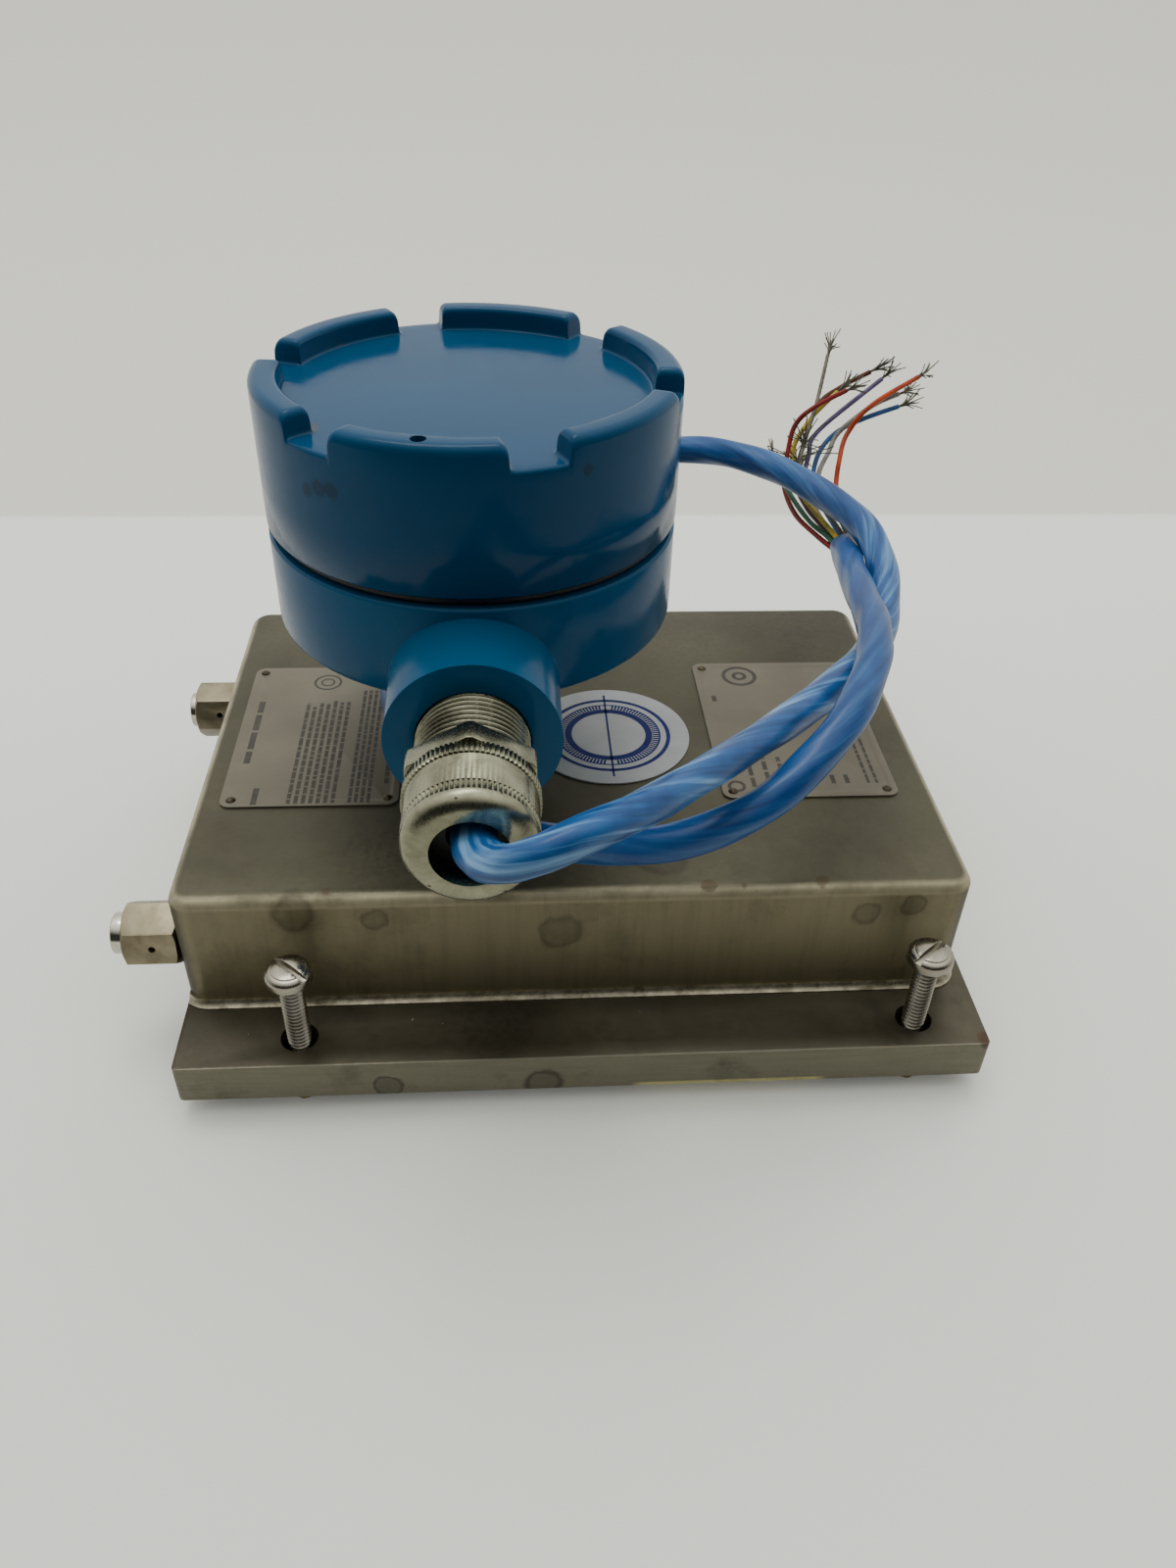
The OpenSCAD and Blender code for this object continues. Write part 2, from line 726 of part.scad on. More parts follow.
module junction_box() {
    color("steelblue") difference() {
        union() {
            translate([head_x, 0, 0]) rotate_extrude() box_section();
            translate([head_x, 0, hub_z]) cylinder(d = hub_d, h = hub_h + 1);
            translate([head_x, 0, boss_z]) rotate([90, 0, 0]) cylinder(d = boss_d, h = boss_reach);
            translate([head_x, 0, lip_z - e]) rotate_extrude() translate([cavity_r + 1, 0])
                spigot_thread();
        }
        translate([head_x, 0, floor_z]) cylinder(r = cavity_r, h = box_h + spigot_h);
        translate([head_x, 0, hub_z - 1]) cylinder(d = neck_d + 2 * clear, h = hub_h - 4 + 1);
        translate([head_x, 0, hub_z]) cylinder(d = neck_bore_d, h = hub_h + floor_t + 1);
        translate([head_x, -cavity_r + 18, boss_z]) rotate([90, 0, 0])
            cylinder(d = gland_thread_d + 2 * clear, h = boss_reach);
        at_block_screws() translate([0, 0, -2.5]) cylinder(d = 2.5 + 2 * clear, h = 3);
        at_ground() translate([0, 0, -2.5]) cylinder(d = 3.5 + 2 * clear, h = 3);
    }
}

// Outside wall of the spigot as a row of ridges between the lip and the spigot's end.
module spigot_thread() {
    r0 = cavity_r + 1;
    n = floor((spigot_h - 2) / cover_pitch);
    polygon(concat(
        [[0, 0], [thread_r - 1.2 - r0, 0], [thread_r - 1.2 - r0, e + 1.5]],
        [for (i = [0 : n - 1]) each [
            [thread_r - r0, e + 1.5 + (i + 0.4) * cover_pitch],
            [thread_r - r0, e + 1.5 + (i + 0.6) * cover_pitch],
            [thread_r - 1.2 - r0, e + 1.5 + (i + 1) * cover_pitch]
        ]],
        [[thread_r - 1.2 - r0, e + spigot_h], [0, e + spigot_h]]
    ));
}

module terminal_block() {
    slot = term_pitch * 0.73;
    color("black") difference() {
        translate([head_x - block_w / 2, block_y, floor_z]) cube([block_w, block_d, block_h]);
        at_terminals() translate([0, -block_d / 4, 3]) cube([slot, block_d / 2 + 1, 4.4], center = true);
        at_terminals() translate([0, 0, 5]) cylinder(d = slot, h = block_h);
        at_block_screws() translate([0, 0, -1]) cylinder(d = 3, h = block_h + 2);
        at_block_screws() translate([0, 0, block_h - 4]) cylinder(d = 6, h = 5);
    }
}

module terminal_screws() {
    color("silver") at_terminals() {
        translate([0, 0, 5.5]) cylinder(d = 2.4, h = 4);
        translate([0, 0, 9]) difference() {
            cylinder(d = term_pitch * 0.65, h = 1.6);
            translate([0, 0, 1.6]) cube([5, 0.7, 1.4], center = true);
        }
    }
}

module pan_screw(d, head, deep, high) {
    translate([0, 0, -deep]) cylinder(d = d, h = deep + high);
    translate([0, 0, high]) difference() {
        cylinder(d = head, h = 2);
        translate([0, 0, 2]) cube([head + 1, 0.9, 1.8], center = true);
    }
}

module block_screws() {
    color("silver") at_block_screws() pan_screw(2.5, 5.2, 2.4, block_h - 4);
}

module ground_screw() {
    color("seagreen") at_ground() pan_screw(3.5, 7, 2.4, 0);
}

// ---------- screw cover ----------
module cover_seal() {
    color("black") translate([head_x, 0, lip_z + 0.3 + ring_d / 2]) rotate_extrude()
        translate([ring_r, 0]) circle(d = ring_d);
}

module cover_section() {
    r = cover_r;
    top = disc_z;
    seat_r = ring_r + ring_d / 2 + 0.3;
    seat_h = 0.6 + ring_d - lip_gap;
    difference() {
        union() {
            translate([0, cover_z]) square([r, cover_h - rim_r]);
            translate([0, cover_z]) square([r - rim_r, cover_h]);
            translate([r - rim_r, top - rim_r]) circle(rim_r);
        }
        translate([-1, cover_z - 1]) square([cover_bore_r, cover_h - roof_t + 1]);
        translate([-1, cover_z - 1]) square([cover_bore_r + 1, spigot_h + 1]);
        translate([-1, cover_z - 1]) square([seat_r + 1, seat_h + 1]);
    }
}

// Lug section on the rim: full outer rounding, smaller inner one, flat on top.
module lug_section() {
    r = cover_r;
    inner = r - lug_t;
    difference() {
        translate([inner, disc_z - rim_r - 1]) square([lug_t, lug_h + rim_r + 1]);
        difference() {
            translate([r - rim_r, disc_z + lug_h - rim_r]) square(rim_r + 1);
            translate([r - rim_r, disc_z + lug_h - rim_r]) circle(rim_r);
        }
        difference() {
            translate([inner - 1, disc_z + lug_h - lug_edge_r]) square(lug_edge_r + 1);
            translate([inner + lug_edge_r, disc_z + lug_h - lug_edge_r]) circle(lug_edge_r);
        }
    }
}

module screw_cover() {
    color("steelblue") translate([head_x, 0, 0]) difference() {
        union() {
            rotate_extrude() cover_section();
            for (k = [0 : 5]) rotate([0, 0, lug_turn + 60 * k - lug_arc / 2])
                rotate_extrude(angle = lug_arc) lug_section();
        }
        rotate([0, 0, lock_turn]) translate([cover_r - lug_t / 2 - 0.2, 0, disc_z + lug_h - lock_l])
            cylinder(d = lock_d, h = lock_l + 1);
    }
}

// ---------- cable gland ----------
module along_gland(y) {
    translate([head_x, y, boss_z]) rotate([90, 0, 0]) children();
}

module gland_body() {
    start = gland_in_l - boss_reach;
    color("gainsboro") difference() {
        union() {
            along_gland(start) rotate_extrude()
                thread_profile(gland_thread_d / 2, gland_in_l + gland_thread_l, gland_pitch, 1.1);
            along_gland(gland_hex_y) intersection() {
                rotate([0, 0, 90]) hexagon(gland_hex_af, gland_hex_l);
                cylinder(d = gland_hex_af * inch_hex - 0.8, h = gland_hex_l);
            }
            along_gland(cap_y) cylinder(d = band_d - 5, h = knurl_l + band_l - 2);
        }
        along_gland(start + 1) cylinder(d = cable_d + 3, h = 80);
        along_gland(cap_y) cylinder(d = mouth_d + clear, h = 30);
    }
}

module gland_cap() {
    color("gainsboro") difference() {
        union() {
            along_gland(cap_y) knurled(knurl_d, knurl_l, 84, 0.55);
            along_gland(cap_y) cylinder(d = band_d, h = knurl_l + band_l);
            along_gland(tooth_y) knurled(band_d, tooth_l, 84, 0.55);
            along_gland(tooth_y - tooth_l) rotate_extrude() {
                square([band_d / 2 - dome_l, dome_l]);
                translate([band_d / 2 - dome_l, 0]) intersection() {
                    circle(dome_l);
                    square(dome_l);
                }
            }
        }
        along_gland(cap_y + 1) cylinder(d = band_d - 5 + 2 * clear, h = knurl_l + band_l);
        along_gland(cap_y) cylinder(d = mouth_d, h = cap_y - mouth_y + 1);
    }
}

module gland_bush() {
    color("black") difference() {
        along_gland(cap_y) cylinder(d = mouth_d - 2 * clear, h = knurl_l + band_l + 0.5);
        along_gland(cap_y + 1) cylinder(d = cable_d + 1.4, h = 30);
    }
}

// ---------- cable ----------
function heading(p, i) =
    let (d = p[min(i + 1, len(p) - 1)] - p[max(i - 1, 0)]) d / norm(d);

function ring(p, i, r, n) =
    let (t = heading(p, i), s = cross(t, [0, 0, 1]), u = s / norm(s), v = cross(u, t))
    [for (k = [0 : n - 1]) p[i] + r * (cos(360 * k / n) * u + sin(360 * k / n) * v)];

module swept(p, d, n) {
    last = len(p) - 1;
    polyhedron(
        points = [for (i = [0 : last]) each ring(p, i, d / 2, n)],
        faces = concat(
            [[for (k = [0 : n - 1]) k]],
            [for (i = [0 : last - 1], k = [0 : n - 1]) each [
                [i * n + k, i * n + n + k, i * n + (k + 1) % n],
                [i * n + (k + 1) % n, i * n + n + k, i * n + n + (k + 1) % n]
            ]],
            [[for (k = [n - 1 : -1 : 0]) last * n + k]]
        )
    );
}

module from_head() {
    translate([head_x, 0, boss_z]) children();
}

// Place 0 is the middle of the jacket's end, 1 to 8 go round it from the right, 0.45 mm clear.
module wire(route, place) {
    last = len(CABLE) - 1;
    out = heading(CABLE, last);
    side = cross(out, [0, 0, 1]) / norm(cross(out, [0, 0, 1]));
    up = cross(side, out);
    turn = 45 * (place - 1);
    off = place == 0 ? 0 : cable_d * 0.28;
    start = 0.45 * out + off * (cos(turn) * side + sin(turn) * up);
    from_head() swept([for (p = concat([start], route)) CABLE[last] + p], wire_d, 8);
}

module cable() {
    color("dodgerblue") from_head() swept(CABLE, cable_d, 12);
}

module wire_red() {
    color("red") wire(RED, 6);
}

module wire_brown() {
    color("sienna") wire(BROWN, 0);
}

module wire_yellow() {
    color("gold") wire(YELLOW, 4);
}

module wire_violet() {
    color("purple") wire(VIOLET, 7);
}

module wire_blue() {
    color("blue") wire(BLUE, 8);
}

module wire_orange() {
    color("orange") wire(ORANGE, 1);
}

module wire_white() {
    color("whitesmoke") wire(WHITE, 2);
}

module wire_green() {
    color("green") wire(GREEN, 5);
}

module wire_drain() {
    color("silver") wire(DRAIN, 3);
}

mounting_plate();
foot_nuts();
mounting_screws();
case_shell();
case_weld();
left_nameplate();
right_nameplate();
nameplate_rivets();
round_badge();
inlet_fitting();
outlet_fitting();
inlet_nut();
outlet_nut();
inlet_manifold();
outlet_manifold();
lower_flow_tube();
upper_flow_tube();
inlet_brace();
outlet_brace();
drive_coil();
drive_magnet();
inlet_pickoff_coil();
inlet_pickoff_magnet();
outlet_pickoff_coil();
outlet_pickoff_magnet();
temperature_sensor();
feedthrough();
neck();
junction_box();
terminal_block();
terminal_screws();
block_screws();
ground_screw();
cover_seal();
screw_cover();
gland_body();
gland_cap();
gland_bush();
cable();
wire_red();
wire_brown();
wire_yellow();
wire_violet();
wire_blue();
wire_orange();
wire_white();
wire_green();
wire_drain();
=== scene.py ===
import math
import random

import bmesh
import bpy
from mathutils import Matrix, Vector


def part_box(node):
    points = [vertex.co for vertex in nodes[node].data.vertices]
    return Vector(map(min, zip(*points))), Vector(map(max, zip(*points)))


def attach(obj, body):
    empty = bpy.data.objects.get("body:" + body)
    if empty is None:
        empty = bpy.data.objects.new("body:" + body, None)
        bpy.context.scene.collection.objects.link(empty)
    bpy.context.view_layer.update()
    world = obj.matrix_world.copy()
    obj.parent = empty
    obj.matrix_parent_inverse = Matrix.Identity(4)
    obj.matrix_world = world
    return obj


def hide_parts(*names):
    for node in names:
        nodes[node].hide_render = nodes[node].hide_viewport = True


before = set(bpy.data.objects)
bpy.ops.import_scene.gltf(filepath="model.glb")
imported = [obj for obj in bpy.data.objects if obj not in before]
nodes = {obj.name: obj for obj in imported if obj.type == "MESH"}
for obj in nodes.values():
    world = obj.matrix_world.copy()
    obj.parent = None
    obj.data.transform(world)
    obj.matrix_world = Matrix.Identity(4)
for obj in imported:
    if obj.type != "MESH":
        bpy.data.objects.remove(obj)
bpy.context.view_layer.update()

# ---------------------------------------------------------------- camera
# Hand-held shot from the front and above, a little left of the meter, about 0.4 m away.
MM = 0.001
yaw, pitch, roll = math.radians(4.77), math.radians(37.58), math.radians(1.92)
ahead = Vector((math.sin(yaw) * math.cos(pitch), math.cos(yaw) * math.cos(pitch), -math.sin(pitch)))
level = Vector((math.cos(yaw), -math.sin(yaw), 0))
rise = level.cross(ahead)
right = math.cos(roll) * level + math.sin(roll) * rise
up = -math.sin(roll) * level + math.cos(roll) * rise
lens = bpy.data.cameras.new("camera")
lens.lens = 27.41
lens.sensor_width = 36
lens.clip_start = 0.01
camera = bpy.data.objects.new("camera", lens)
camera.matrix_world = Matrix.Translation((-0.0195, -0.2935, 0.2597)) @ Matrix((
    (right.x, up.x, -ahead.x, 0), (right.y, up.y, -ahead.y, 0), (right.z, up.z, -ahead.z, 0), (0, 0, 0, 1)))
bpy.context.scene.collection.objects.link(camera)
bpy.context.scene.camera = camera

# ---------------------------------------------------------------- shader tools
# Three node groups carry the effects that the surfaces share: an uneven tone with fine grain, small specks, and
# dried drops with a ragged rim.


def colour(r, g, b):
    """A colour as it shows on screen, 0 to 255, as the renderer's own linear values."""
    return tuple((c / 255 / 12.92 if c < 11 else ((c / 255 + 0.055) / 1.055) ** 2.4) for c in (r, g, b)) + (1,)


def node(tree, kind, **settings):
    """A new shader node of this kind, with its settings."""
    made = tree.nodes.new("ShaderNode" + kind)
    for key, value in settings.items():
        setattr(made, key, value)
    return made


def wire_up(tree, target, source):
    """Joins source to the socket target, or sets the target's value where source is a plain number or tuple."""
    if isinstance(source, bpy.types.NodeSocket):
        tree.links.new(source, target)
    else:
        target.default_value = source


def calc(tree, how, a, b=0.0, clamp=False):
    """The result of a math node on two sockets or numbers."""
    made = node(tree, "Math", operation=how, use_clamp=clamp)
    wire_up(tree, made.inputs[0], a)
    wire_up(tree, made.inputs[1], b)
    return made.outputs[0]


def times(tree, a, b, clamp=False):
    return calc(tree, "MULTIPLY", a, b, clamp)


def band(tree, value, low, high, out_low=0.0, out_high=1.0):
    """Runs evenly from out_low to out_high while value goes from low to high, and stays there outside."""
    made = node(tree, "MapRange")
    wire_up(tree, made.inputs["Value"], value)
    for key, x in (("From Min", low), ("From Max", high), ("To Min", out_low), ("To Max", out_high)):
        made.inputs[key].default_value = x
    return made.outputs["Result"]


def blend_colours(tree, mask, a, b):
    """Colour a where mask is 0 and colour b where it is 1."""
    made = node(tree, "Mix", data_type="RGBA")
    wire_up(tree, made.inputs[0], mask)
    wire_up(tree, made.inputs[6], a)
    wire_up(tree, made.inputs[7], b)
    return made.outputs[2]


def noise(tree, vector, scale, detail=4.0, rough=0.55, distortion=0.0):
    """Cloudy noise from 0 to 1 read at vector, with scale in clouds per metre."""
    made = node(tree, "TexNoise")
    tree.links.new(vector, made.inputs["Vector"])
    for key, x in (("Scale", scale), ("Detail", detail), ("Roughness", rough), ("Distortion", distortion)):
        wire_up(tree, made.inputs[key], x)
    return made.outputs["Fac"]


def new_group(name, inputs, outputs):
    """A node group with these sockets, returned with its input node and its output node."""
    tree = bpy.data.node_groups.new(name, "ShaderNodeTree")
    for key, kind in inputs:
        tree.interface.new_socket(name=key, in_out="INPUT", socket_type="NodeSocket" + kind)
    for key, kind in outputs:
        tree.interface.new_socket(name=key, in_out="OUTPUT", socket_type="NodeSocket" + kind)
    return tree, tree.nodes.new("NodeGroupInput"), tree.nodes.new("NodeGroupOutput")


mottle, given, out = new_group(
    "mottle", [("Vector", "Vector"), ("Patch", "Float"), ("Grain", "Float")],
    [("Patches", "Float"), ("Fine", "Float"), ("Height", "Float")])
broad = noise(mottle, given.outputs["Vector"], given.outputs["Patch"], 5, 0.6, 0.4)
small = noise(mottle, given.outputs["Vector"], given.outputs["Grain"], 3, 0.6)
wire_up(mottle, out.inputs["Patches"], band(mottle, broad, 0.35, 0.65))
wire_up(mottle, out.inputs["Fine"], band(mottle, small, 0.3, 0.7))
wire_up(mottle, out.inputs["Height"], calc(mottle, "ADD", times(mottle, broad, 0.6), times(mottle, small, 0.4)))

specks, given, out = new_group(
    "specks", [("Vector", "Vector"), ("Scale", "Float"), ("Size", "Float"), ("Share", "Float")],
    [("Mask", "Float")])
cells = node(specks, "TexVoronoi")
specks.links.new(given.outputs["Vector"], cells.inputs["Vector"])
specks.links.new(given.outputs["Scale"], cells.inputs["Scale"])
picked = node(specks, "SeparateColor")
specks.links.new(cells.outputs["Color"], picked.inputs[0])
fringe = times(specks, noise(specks, given.outputs["Vector"], 900.0), 0.12)
ragged = calc(specks, "ADD", cells.outputs["Distance"], fringe)
inside = calc(specks, "LESS_THAN", ragged, given.outputs["Size"])
chosen = calc(specks, "LESS_THAN", picked.outputs[0], given.outputs["Share"])
wire_up(specks, out.inputs["Mask"], times(specks, inside, chosen))

blotch, given, out = new_group(
    "blotch", [("Vector", "Vector"), ("Centre", "Vector"), ("Radius", "Float"), ("Ring", "Float")],
    [("Disc", "Float"), ("Rim", "Float")])
away = node(blotch, "VectorMath", operation="DISTANCE")
blotch.links.new(given.outputs["Vector"], away.inputs[0])
blotch.links.new(given.outputs["Centre"], away.inputs[1])
wave = times(blotch, calc(blotch, "SUBTRACT", noise(blotch, given.outputs["Vector"], 140.0), 0.5), 0.005)
wavy = calc(blotch, "ADD", away.outputs["Value"], wave)
share = calc(blotch, "DIVIDE", wavy, given.outputs["Radius"])
wire_up(blotch, out.inputs["Disc"], band(blotch, share, 1.15, 0.7))
off_rim = calc(blotch, "ABSOLUTE", calc(blotch, "SUBTRACT", share, 1.0))
off_share = calc(blotch, "DIVIDE", off_rim, given.outputs["Ring"])
wire_up(blotch, out.inputs["Rim"], calc(blotch, "SUBTRACT", 1.0, off_share, True))


def surface(name, dark, light, patch=40.0, grain=900.0, rough=(0.3, 0.5), metal=0.0, coat=0.0, bump=0.15,
            depth=0.0002, stretch=None):
    """A material whose colour, roughness and bump run on the mottle group, returned as a small kit for
    overlays. Patch and grain are noise scales per metre, and depth is the bump's height in metres."""
    made = bpy.data.materials.new(name)
    made.use_nodes = True
    tree = made.node_tree
    shader = tree.nodes["Principled BSDF"]
    place = node(tree, "TexCoord").outputs["Object"]
    run = place
    if stretch:
        longer = node(tree, "Mapping")
        tree.links.new(place, longer.inputs["Vector"])
        longer.inputs["Scale"].default_value = stretch
        run = longer.outputs[0]
    tone = node(tree, "Group", node_tree=mottle)
    tree.links.new(run, tone.inputs["Vector"])
    tone.inputs["Patch"].default_value = patch
    tone.inputs["Grain"].default_value = grain
    base = blend_colours(tree, tone.outputs["Patches"], dark, light)
    base = blend_colours(tree, times(tree, tone.outputs["Fine"], 0.25), base, light)
    tree.links.new(base, shader.inputs["Base Color"])
    tree.links.new(band(tree, tone.outputs["Fine"], 0, 1, *rough), shader.inputs["Roughness"])
    lift = node(tree, "Bump")
    lift.inputs["Strength"].default_value = bump
    lift.inputs["Distance"].default_value = depth
    tree.links.new(tone.outputs["Height"], lift.inputs["Height"])
    tree.links.new(lift.outputs[0], shader.inputs["Normal"])
    shader.inputs["Metallic"].default_value = metal
    shader.inputs["Coat Weight"].default_value = coat
    shader.inputs["Coat Roughness"].default_value = 0.06
    return {"material": made, "tree": tree, "shader": shader, "place": place}


def overlay(kit, mask, tint):
    """Lays a second colour over what the material has so far, where mask is 1."""
    socket = kit["shader"].inputs["Base Color"]
    kit["tree"].links.new(blend_colours(kit["tree"], mask, socket.links[0].from_socket, tint), socket)


def speckle(kit, scale, size, share, tint, strength):
    """Small ragged spots: scale is cells per metre, size is a spot's radius in cells, and share is how many of
    the cells have one."""
    tree = kit["tree"]
    dots = node(tree, "Group", node_tree=specks)
    tree.links.new(kit["place"], dots.inputs["Vector"])
    for key, x in (("Scale", scale), ("Size", size), ("Share", share)):
        dots.inputs[key].default_value = x
    overlay(kit, times(tree, dots.outputs["Mask"], strength), tint)


def stain(kit, centre, radius, tint, disc, rim, ring):
    """A dried drop with a tint inside and a ragged rim, ring being the rim's width as a share of the radius."""
    tree = kit["tree"]
    drop = node(tree, "Group", node_tree=blotch)
    tree.links.new(kit["place"], drop.inputs["Vector"])
    drop.inputs["Centre"].default_value = [c * MM for c in centre]
    drop.inputs["Radius"].default_value = radius * MM
    drop.inputs["Ring"].default_value = ring
    within, edge = times(tree, drop.outputs["Disc"], disc), times(tree, drop.outputs["Rim"], rim)
    overlay(kit, calc(tree, "ADD", within, edge, True), tint)


def brushed(kit, scale, strength):
    """Fine grinding lines, long where the scale is small, that darken the metal a little."""
    tree = kit["tree"]
    drawn = node(tree, "Mapping")
    tree.links.new(kit["place"], drawn.inputs["Vector"])
    drawn.inputs["Scale"].default_value = scale
    lines = noise(tree, drawn.outputs[0], 1.0, 2, 0.6)
    overlay(kit, band(tree, lines, 0.45, 0.7, 0, strength), colour(56, 50, 38))


def grime(kit, scale, rough, low, high, strength, tint):
    """Large uneven clouds of a darker tone."""
    cloud = noise(kit["tree"], kit["place"], scale, 6, rough)
    overlay(kit, band(kit["tree"], cloud, low, high, 0, strength), tint)


def axis_value(kit, axis):
    """The place on the surface along X, Y or Z (axis 0, 1 or 2), in metres."""
    parts = node(kit["tree"], "SeparateXYZ")
    kit["tree"].links.new(kit["place"], parts.inputs[0])
    return parts.outputs[axis]


def between(tree, value, low, high, fade):
    """1 while value lies from low to high, fading to 0 outside, given in metres."""
    return times(tree, band(tree, value, low, low + fade), band(tree, value, high, high - fade), True)


def paint(obj, kit):
    """Gives the piece this surface and no other."""
    obj.data.materials.clear()
    obj.data.materials.append(kit["material"])


# ---------------------------------------------------------------- mesh tools


def add(name, mesh, kit, body, sharp=35):
    """A new piece that rides on a body, smooth except where its faces meet at more than sharp degrees."""
    mesh.shade_smooth()
    mesh.set_sharp_from_angle(angle=math.radians(sharp))
    obj = bpy.data.objects.new(name, mesh)
    bpy.context.scene.collection.objects.link(obj)
    paint(obj, kit)
    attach(obj, body)
    return obj


def from_bmesh(name, bm):
    """The mesh built in bm, its faces turned outward."""
    mesh = bpy.data.meshes.new(name)
    bmesh.ops.recalc_face_normals(bm, faces=bm.faces)
    bm.to_mesh(mesh)
    bm.free()
    return mesh


def eased(node_name, name, kit, width, body="meter", angle=32, segments=3):
    """The CAD piece with its edges broken: its flat faces are made whole again, then edges sharper than angle
    get a round of width, in millimetres."""
    bm = bmesh.new()
    bm.from_mesh(nodes[node_name].data)
    bmesh.ops.remove_doubles(bm, verts=bm.verts, dist=2e-6)
    bmesh.ops.dissolve_limit(bm, angle_limit=math.radians(0.6), verts=bm.verts, edges=bm.edges)
    if width:
        edges = [e for e in bm.edges if len(e.link_faces) == 2 and e.calc_face_angle(0) > math.radians(angle)]
        bmesh.ops.bevel(bm, geom=edges, offset=width * MM, segments=segments, profile=0.5, affect="EDGES",
                        clamp_overlap=True)
    mesh = bpy.data.meshes.new(name)
    bm.to_mesh(mesh)
    bm.free()
    obj = add(name, mesh, kit, body)
    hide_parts(node_name)
    return obj


def catmull(points, step):
    """Smooth line through the points, resampled at an even step in metres."""
    pts = [Vector(p) for p in points]
    pts = [2 * pts[0] - pts[1]] + pts + [2 * pts[-1] - pts[-2]]
    fine = []
    for p0, p1, p2, p3 in zip(pts, pts[1:], pts[2:], pts[3:]):
        for k in range(24):
            t = k / 24
            square, cube = 2 * p0 - 5 * p1 + 4 * p2 - p3, 3 * p1 - p0 - 3 * p2 + p3
            fine.append(0.5 * (2 * p1 + (p2 - p0) * t + square * t * t + cube * t ** 3))
    fine.append(pts[-2])
    total = sum((b - a).length for a, b in zip(fine, fine[1:]))
    count = max(2, round(total / step))
    line, gone, k = [fine[0]], 0.0, 0
    for n in range(1, count):
        want = total * n / count
        while gone + (fine[k + 1] - fine[k]).length < want:
            gone += (fine[k + 1] - fine[k]).length
            k += 1
        line.append(fine[k].lerp(fine[k + 1], (want - gone) / (fine[k + 1] - fine[k]).length))
    return line + [fine[-1]]


def tube_into(bm, line, radius, sides, uv=None, twist=0.0):
    """Sweeps a ring along the line. Radius is a number or a function of (distance along, angle round). Twist,
    in turns per metre, winds the ring's points along the line."""
    shape = radius if callable(radius) else (lambda s, a: radius)
    side, rings, gone = None, [], 0.0
    for k, p in enumerate(line):
        heading = (line[min(k + 1, len(line) - 1)] - line[max(k - 1, 0)]).normalized()
        if side is None:
            side = heading.cross(Vector((0, 0, 1)) if abs(heading.z) < 0.9 else Vector((1, 0, 0))).normalized()
        side = (side - heading * side.dot(heading)).normalized()
        over = heading.cross(side)
        if k:
            gone += (p - line[k - 1]).length
        angles = [2 * math.pi * (j / sides + twist * gone) for j in range(sides)]
        spots = [p + shape(gone, a) * (math.cos(a) * side + math.sin(a) * over) for a in angles]
        rings.append(([bm.verts.new(spot) for spot in spots], gone))
    for (a, sa), (b, sb) in zip(rings, rings[1:]):
        for j in range(sides):
            face = bm.faces.new((a[j], a[(j + 1) % sides], b[(j + 1) % sides], b[j]))
            if uv:
                for loop, where in zip(face.loops, ((j, sa), (j + 1, sa), (j + 1, sb), (j, sb))):
                    loop[uv].uv = (where[0] / sides + twist * where[1], where[1] * 10)
    bm.faces.new(rings[0][0][::-1])
    bm.faces.new(rings[-1][0])


# ---------------------------------------------------------------- cable
# Nine-core instrument cable in a glossy blue PVC jacket, drawn tight over the twisted cores so that long ridges
# wind along it. It leaves the gland, doubles back and hangs in about one and three quarter loops by its own
# stiffness. CABLE holds its route in millimetres, from where the gland's axis crosses the head's axis.
HEAD_X, BOSS_Z = -27.5, 101.5
CABLE_R = 4.5
CABLE_STEP = 1.3
LAY = 0.11  # length in metres over which the cores make one turn
CABLE = [
    (0, -86, 0), (0, -96, 0), (0.5, -105, 0), (2, -113.5, 2), (6, -120.5, 5.5),
    (13, -124, 10.5), (22, -120.5, 12.5), (33, -111, 10), (46.5, -95.5, 5.5), (63, -76.5, 1),
    (79, -58, -2.5), (94, -40.5, -4.5), (107, -21, -7), (115, -1, -7), (119, 19, -3.5),
    (117.5, 38, 0), (109.5, 57.5, 1.5), (95.5, 77, 3), (77.5, 92.5, 2), (56.5, 102.5, -3),
    (33.5, 104, -9.5), (11.5, 96.5, -16), (-7, 80.5, -23), (-19, 59, -30.5), (-25, 33, -36),
    (-25, 6, -37), (-19.5, -20, -37), (-8.5, -44.5, -35.5), (7.5, -65, -32), (26, -77.5, -27),
    (45, -86.5, -19), (64, -85.5, -10.5), (78.5, -76.5, -3), (89.5, -64.5, 2.5), (99, -44.5, 4),
    (104, -25, 2.5), (106.9, -3.2, -0.9), (109.9, 18.6, -4.5), (114.2, 42.2, -9.2)]


def from_head(p):
    """The place in the scene of a point of CABLE."""
    return Vector((p[0] + HEAD_X, p[1], p[2] + BOSS_Z)) * MM


def jacket_radius(s, a):
    """Four low ridges that make one turn in each lay. Near the gland the jacket is pressed to an oval and
    folds in its tight bend."""
    ridges = math.cos(4 * (a - 2 * math.pi * s / LAY))
    oval = 0.13 * min(1, max(0, 1 - (s - 0.11) / 0.05)) * min(1, s / 0.03) * math.cos(2 * a)
    folds = 0.03 * math.sin(900 * s + 3 * math.cos(a)) * max(0, 1 - abs(s - 0.034) / 0.016)
    return CABLE_R * MM * (0.99 + 0.03 * ridges + oval + folds + 0.012 * math.sin(70 * s + 2 * a))


jacket = surface(
    "cable_jacket", colour(18, 76, 140), colour(38, 106, 170), 60, 150, (0.3, 0.34), coat=0.06, bump=0.0)
jacket["shader"].inputs["Specular IOR Level"].default_value = 0.35
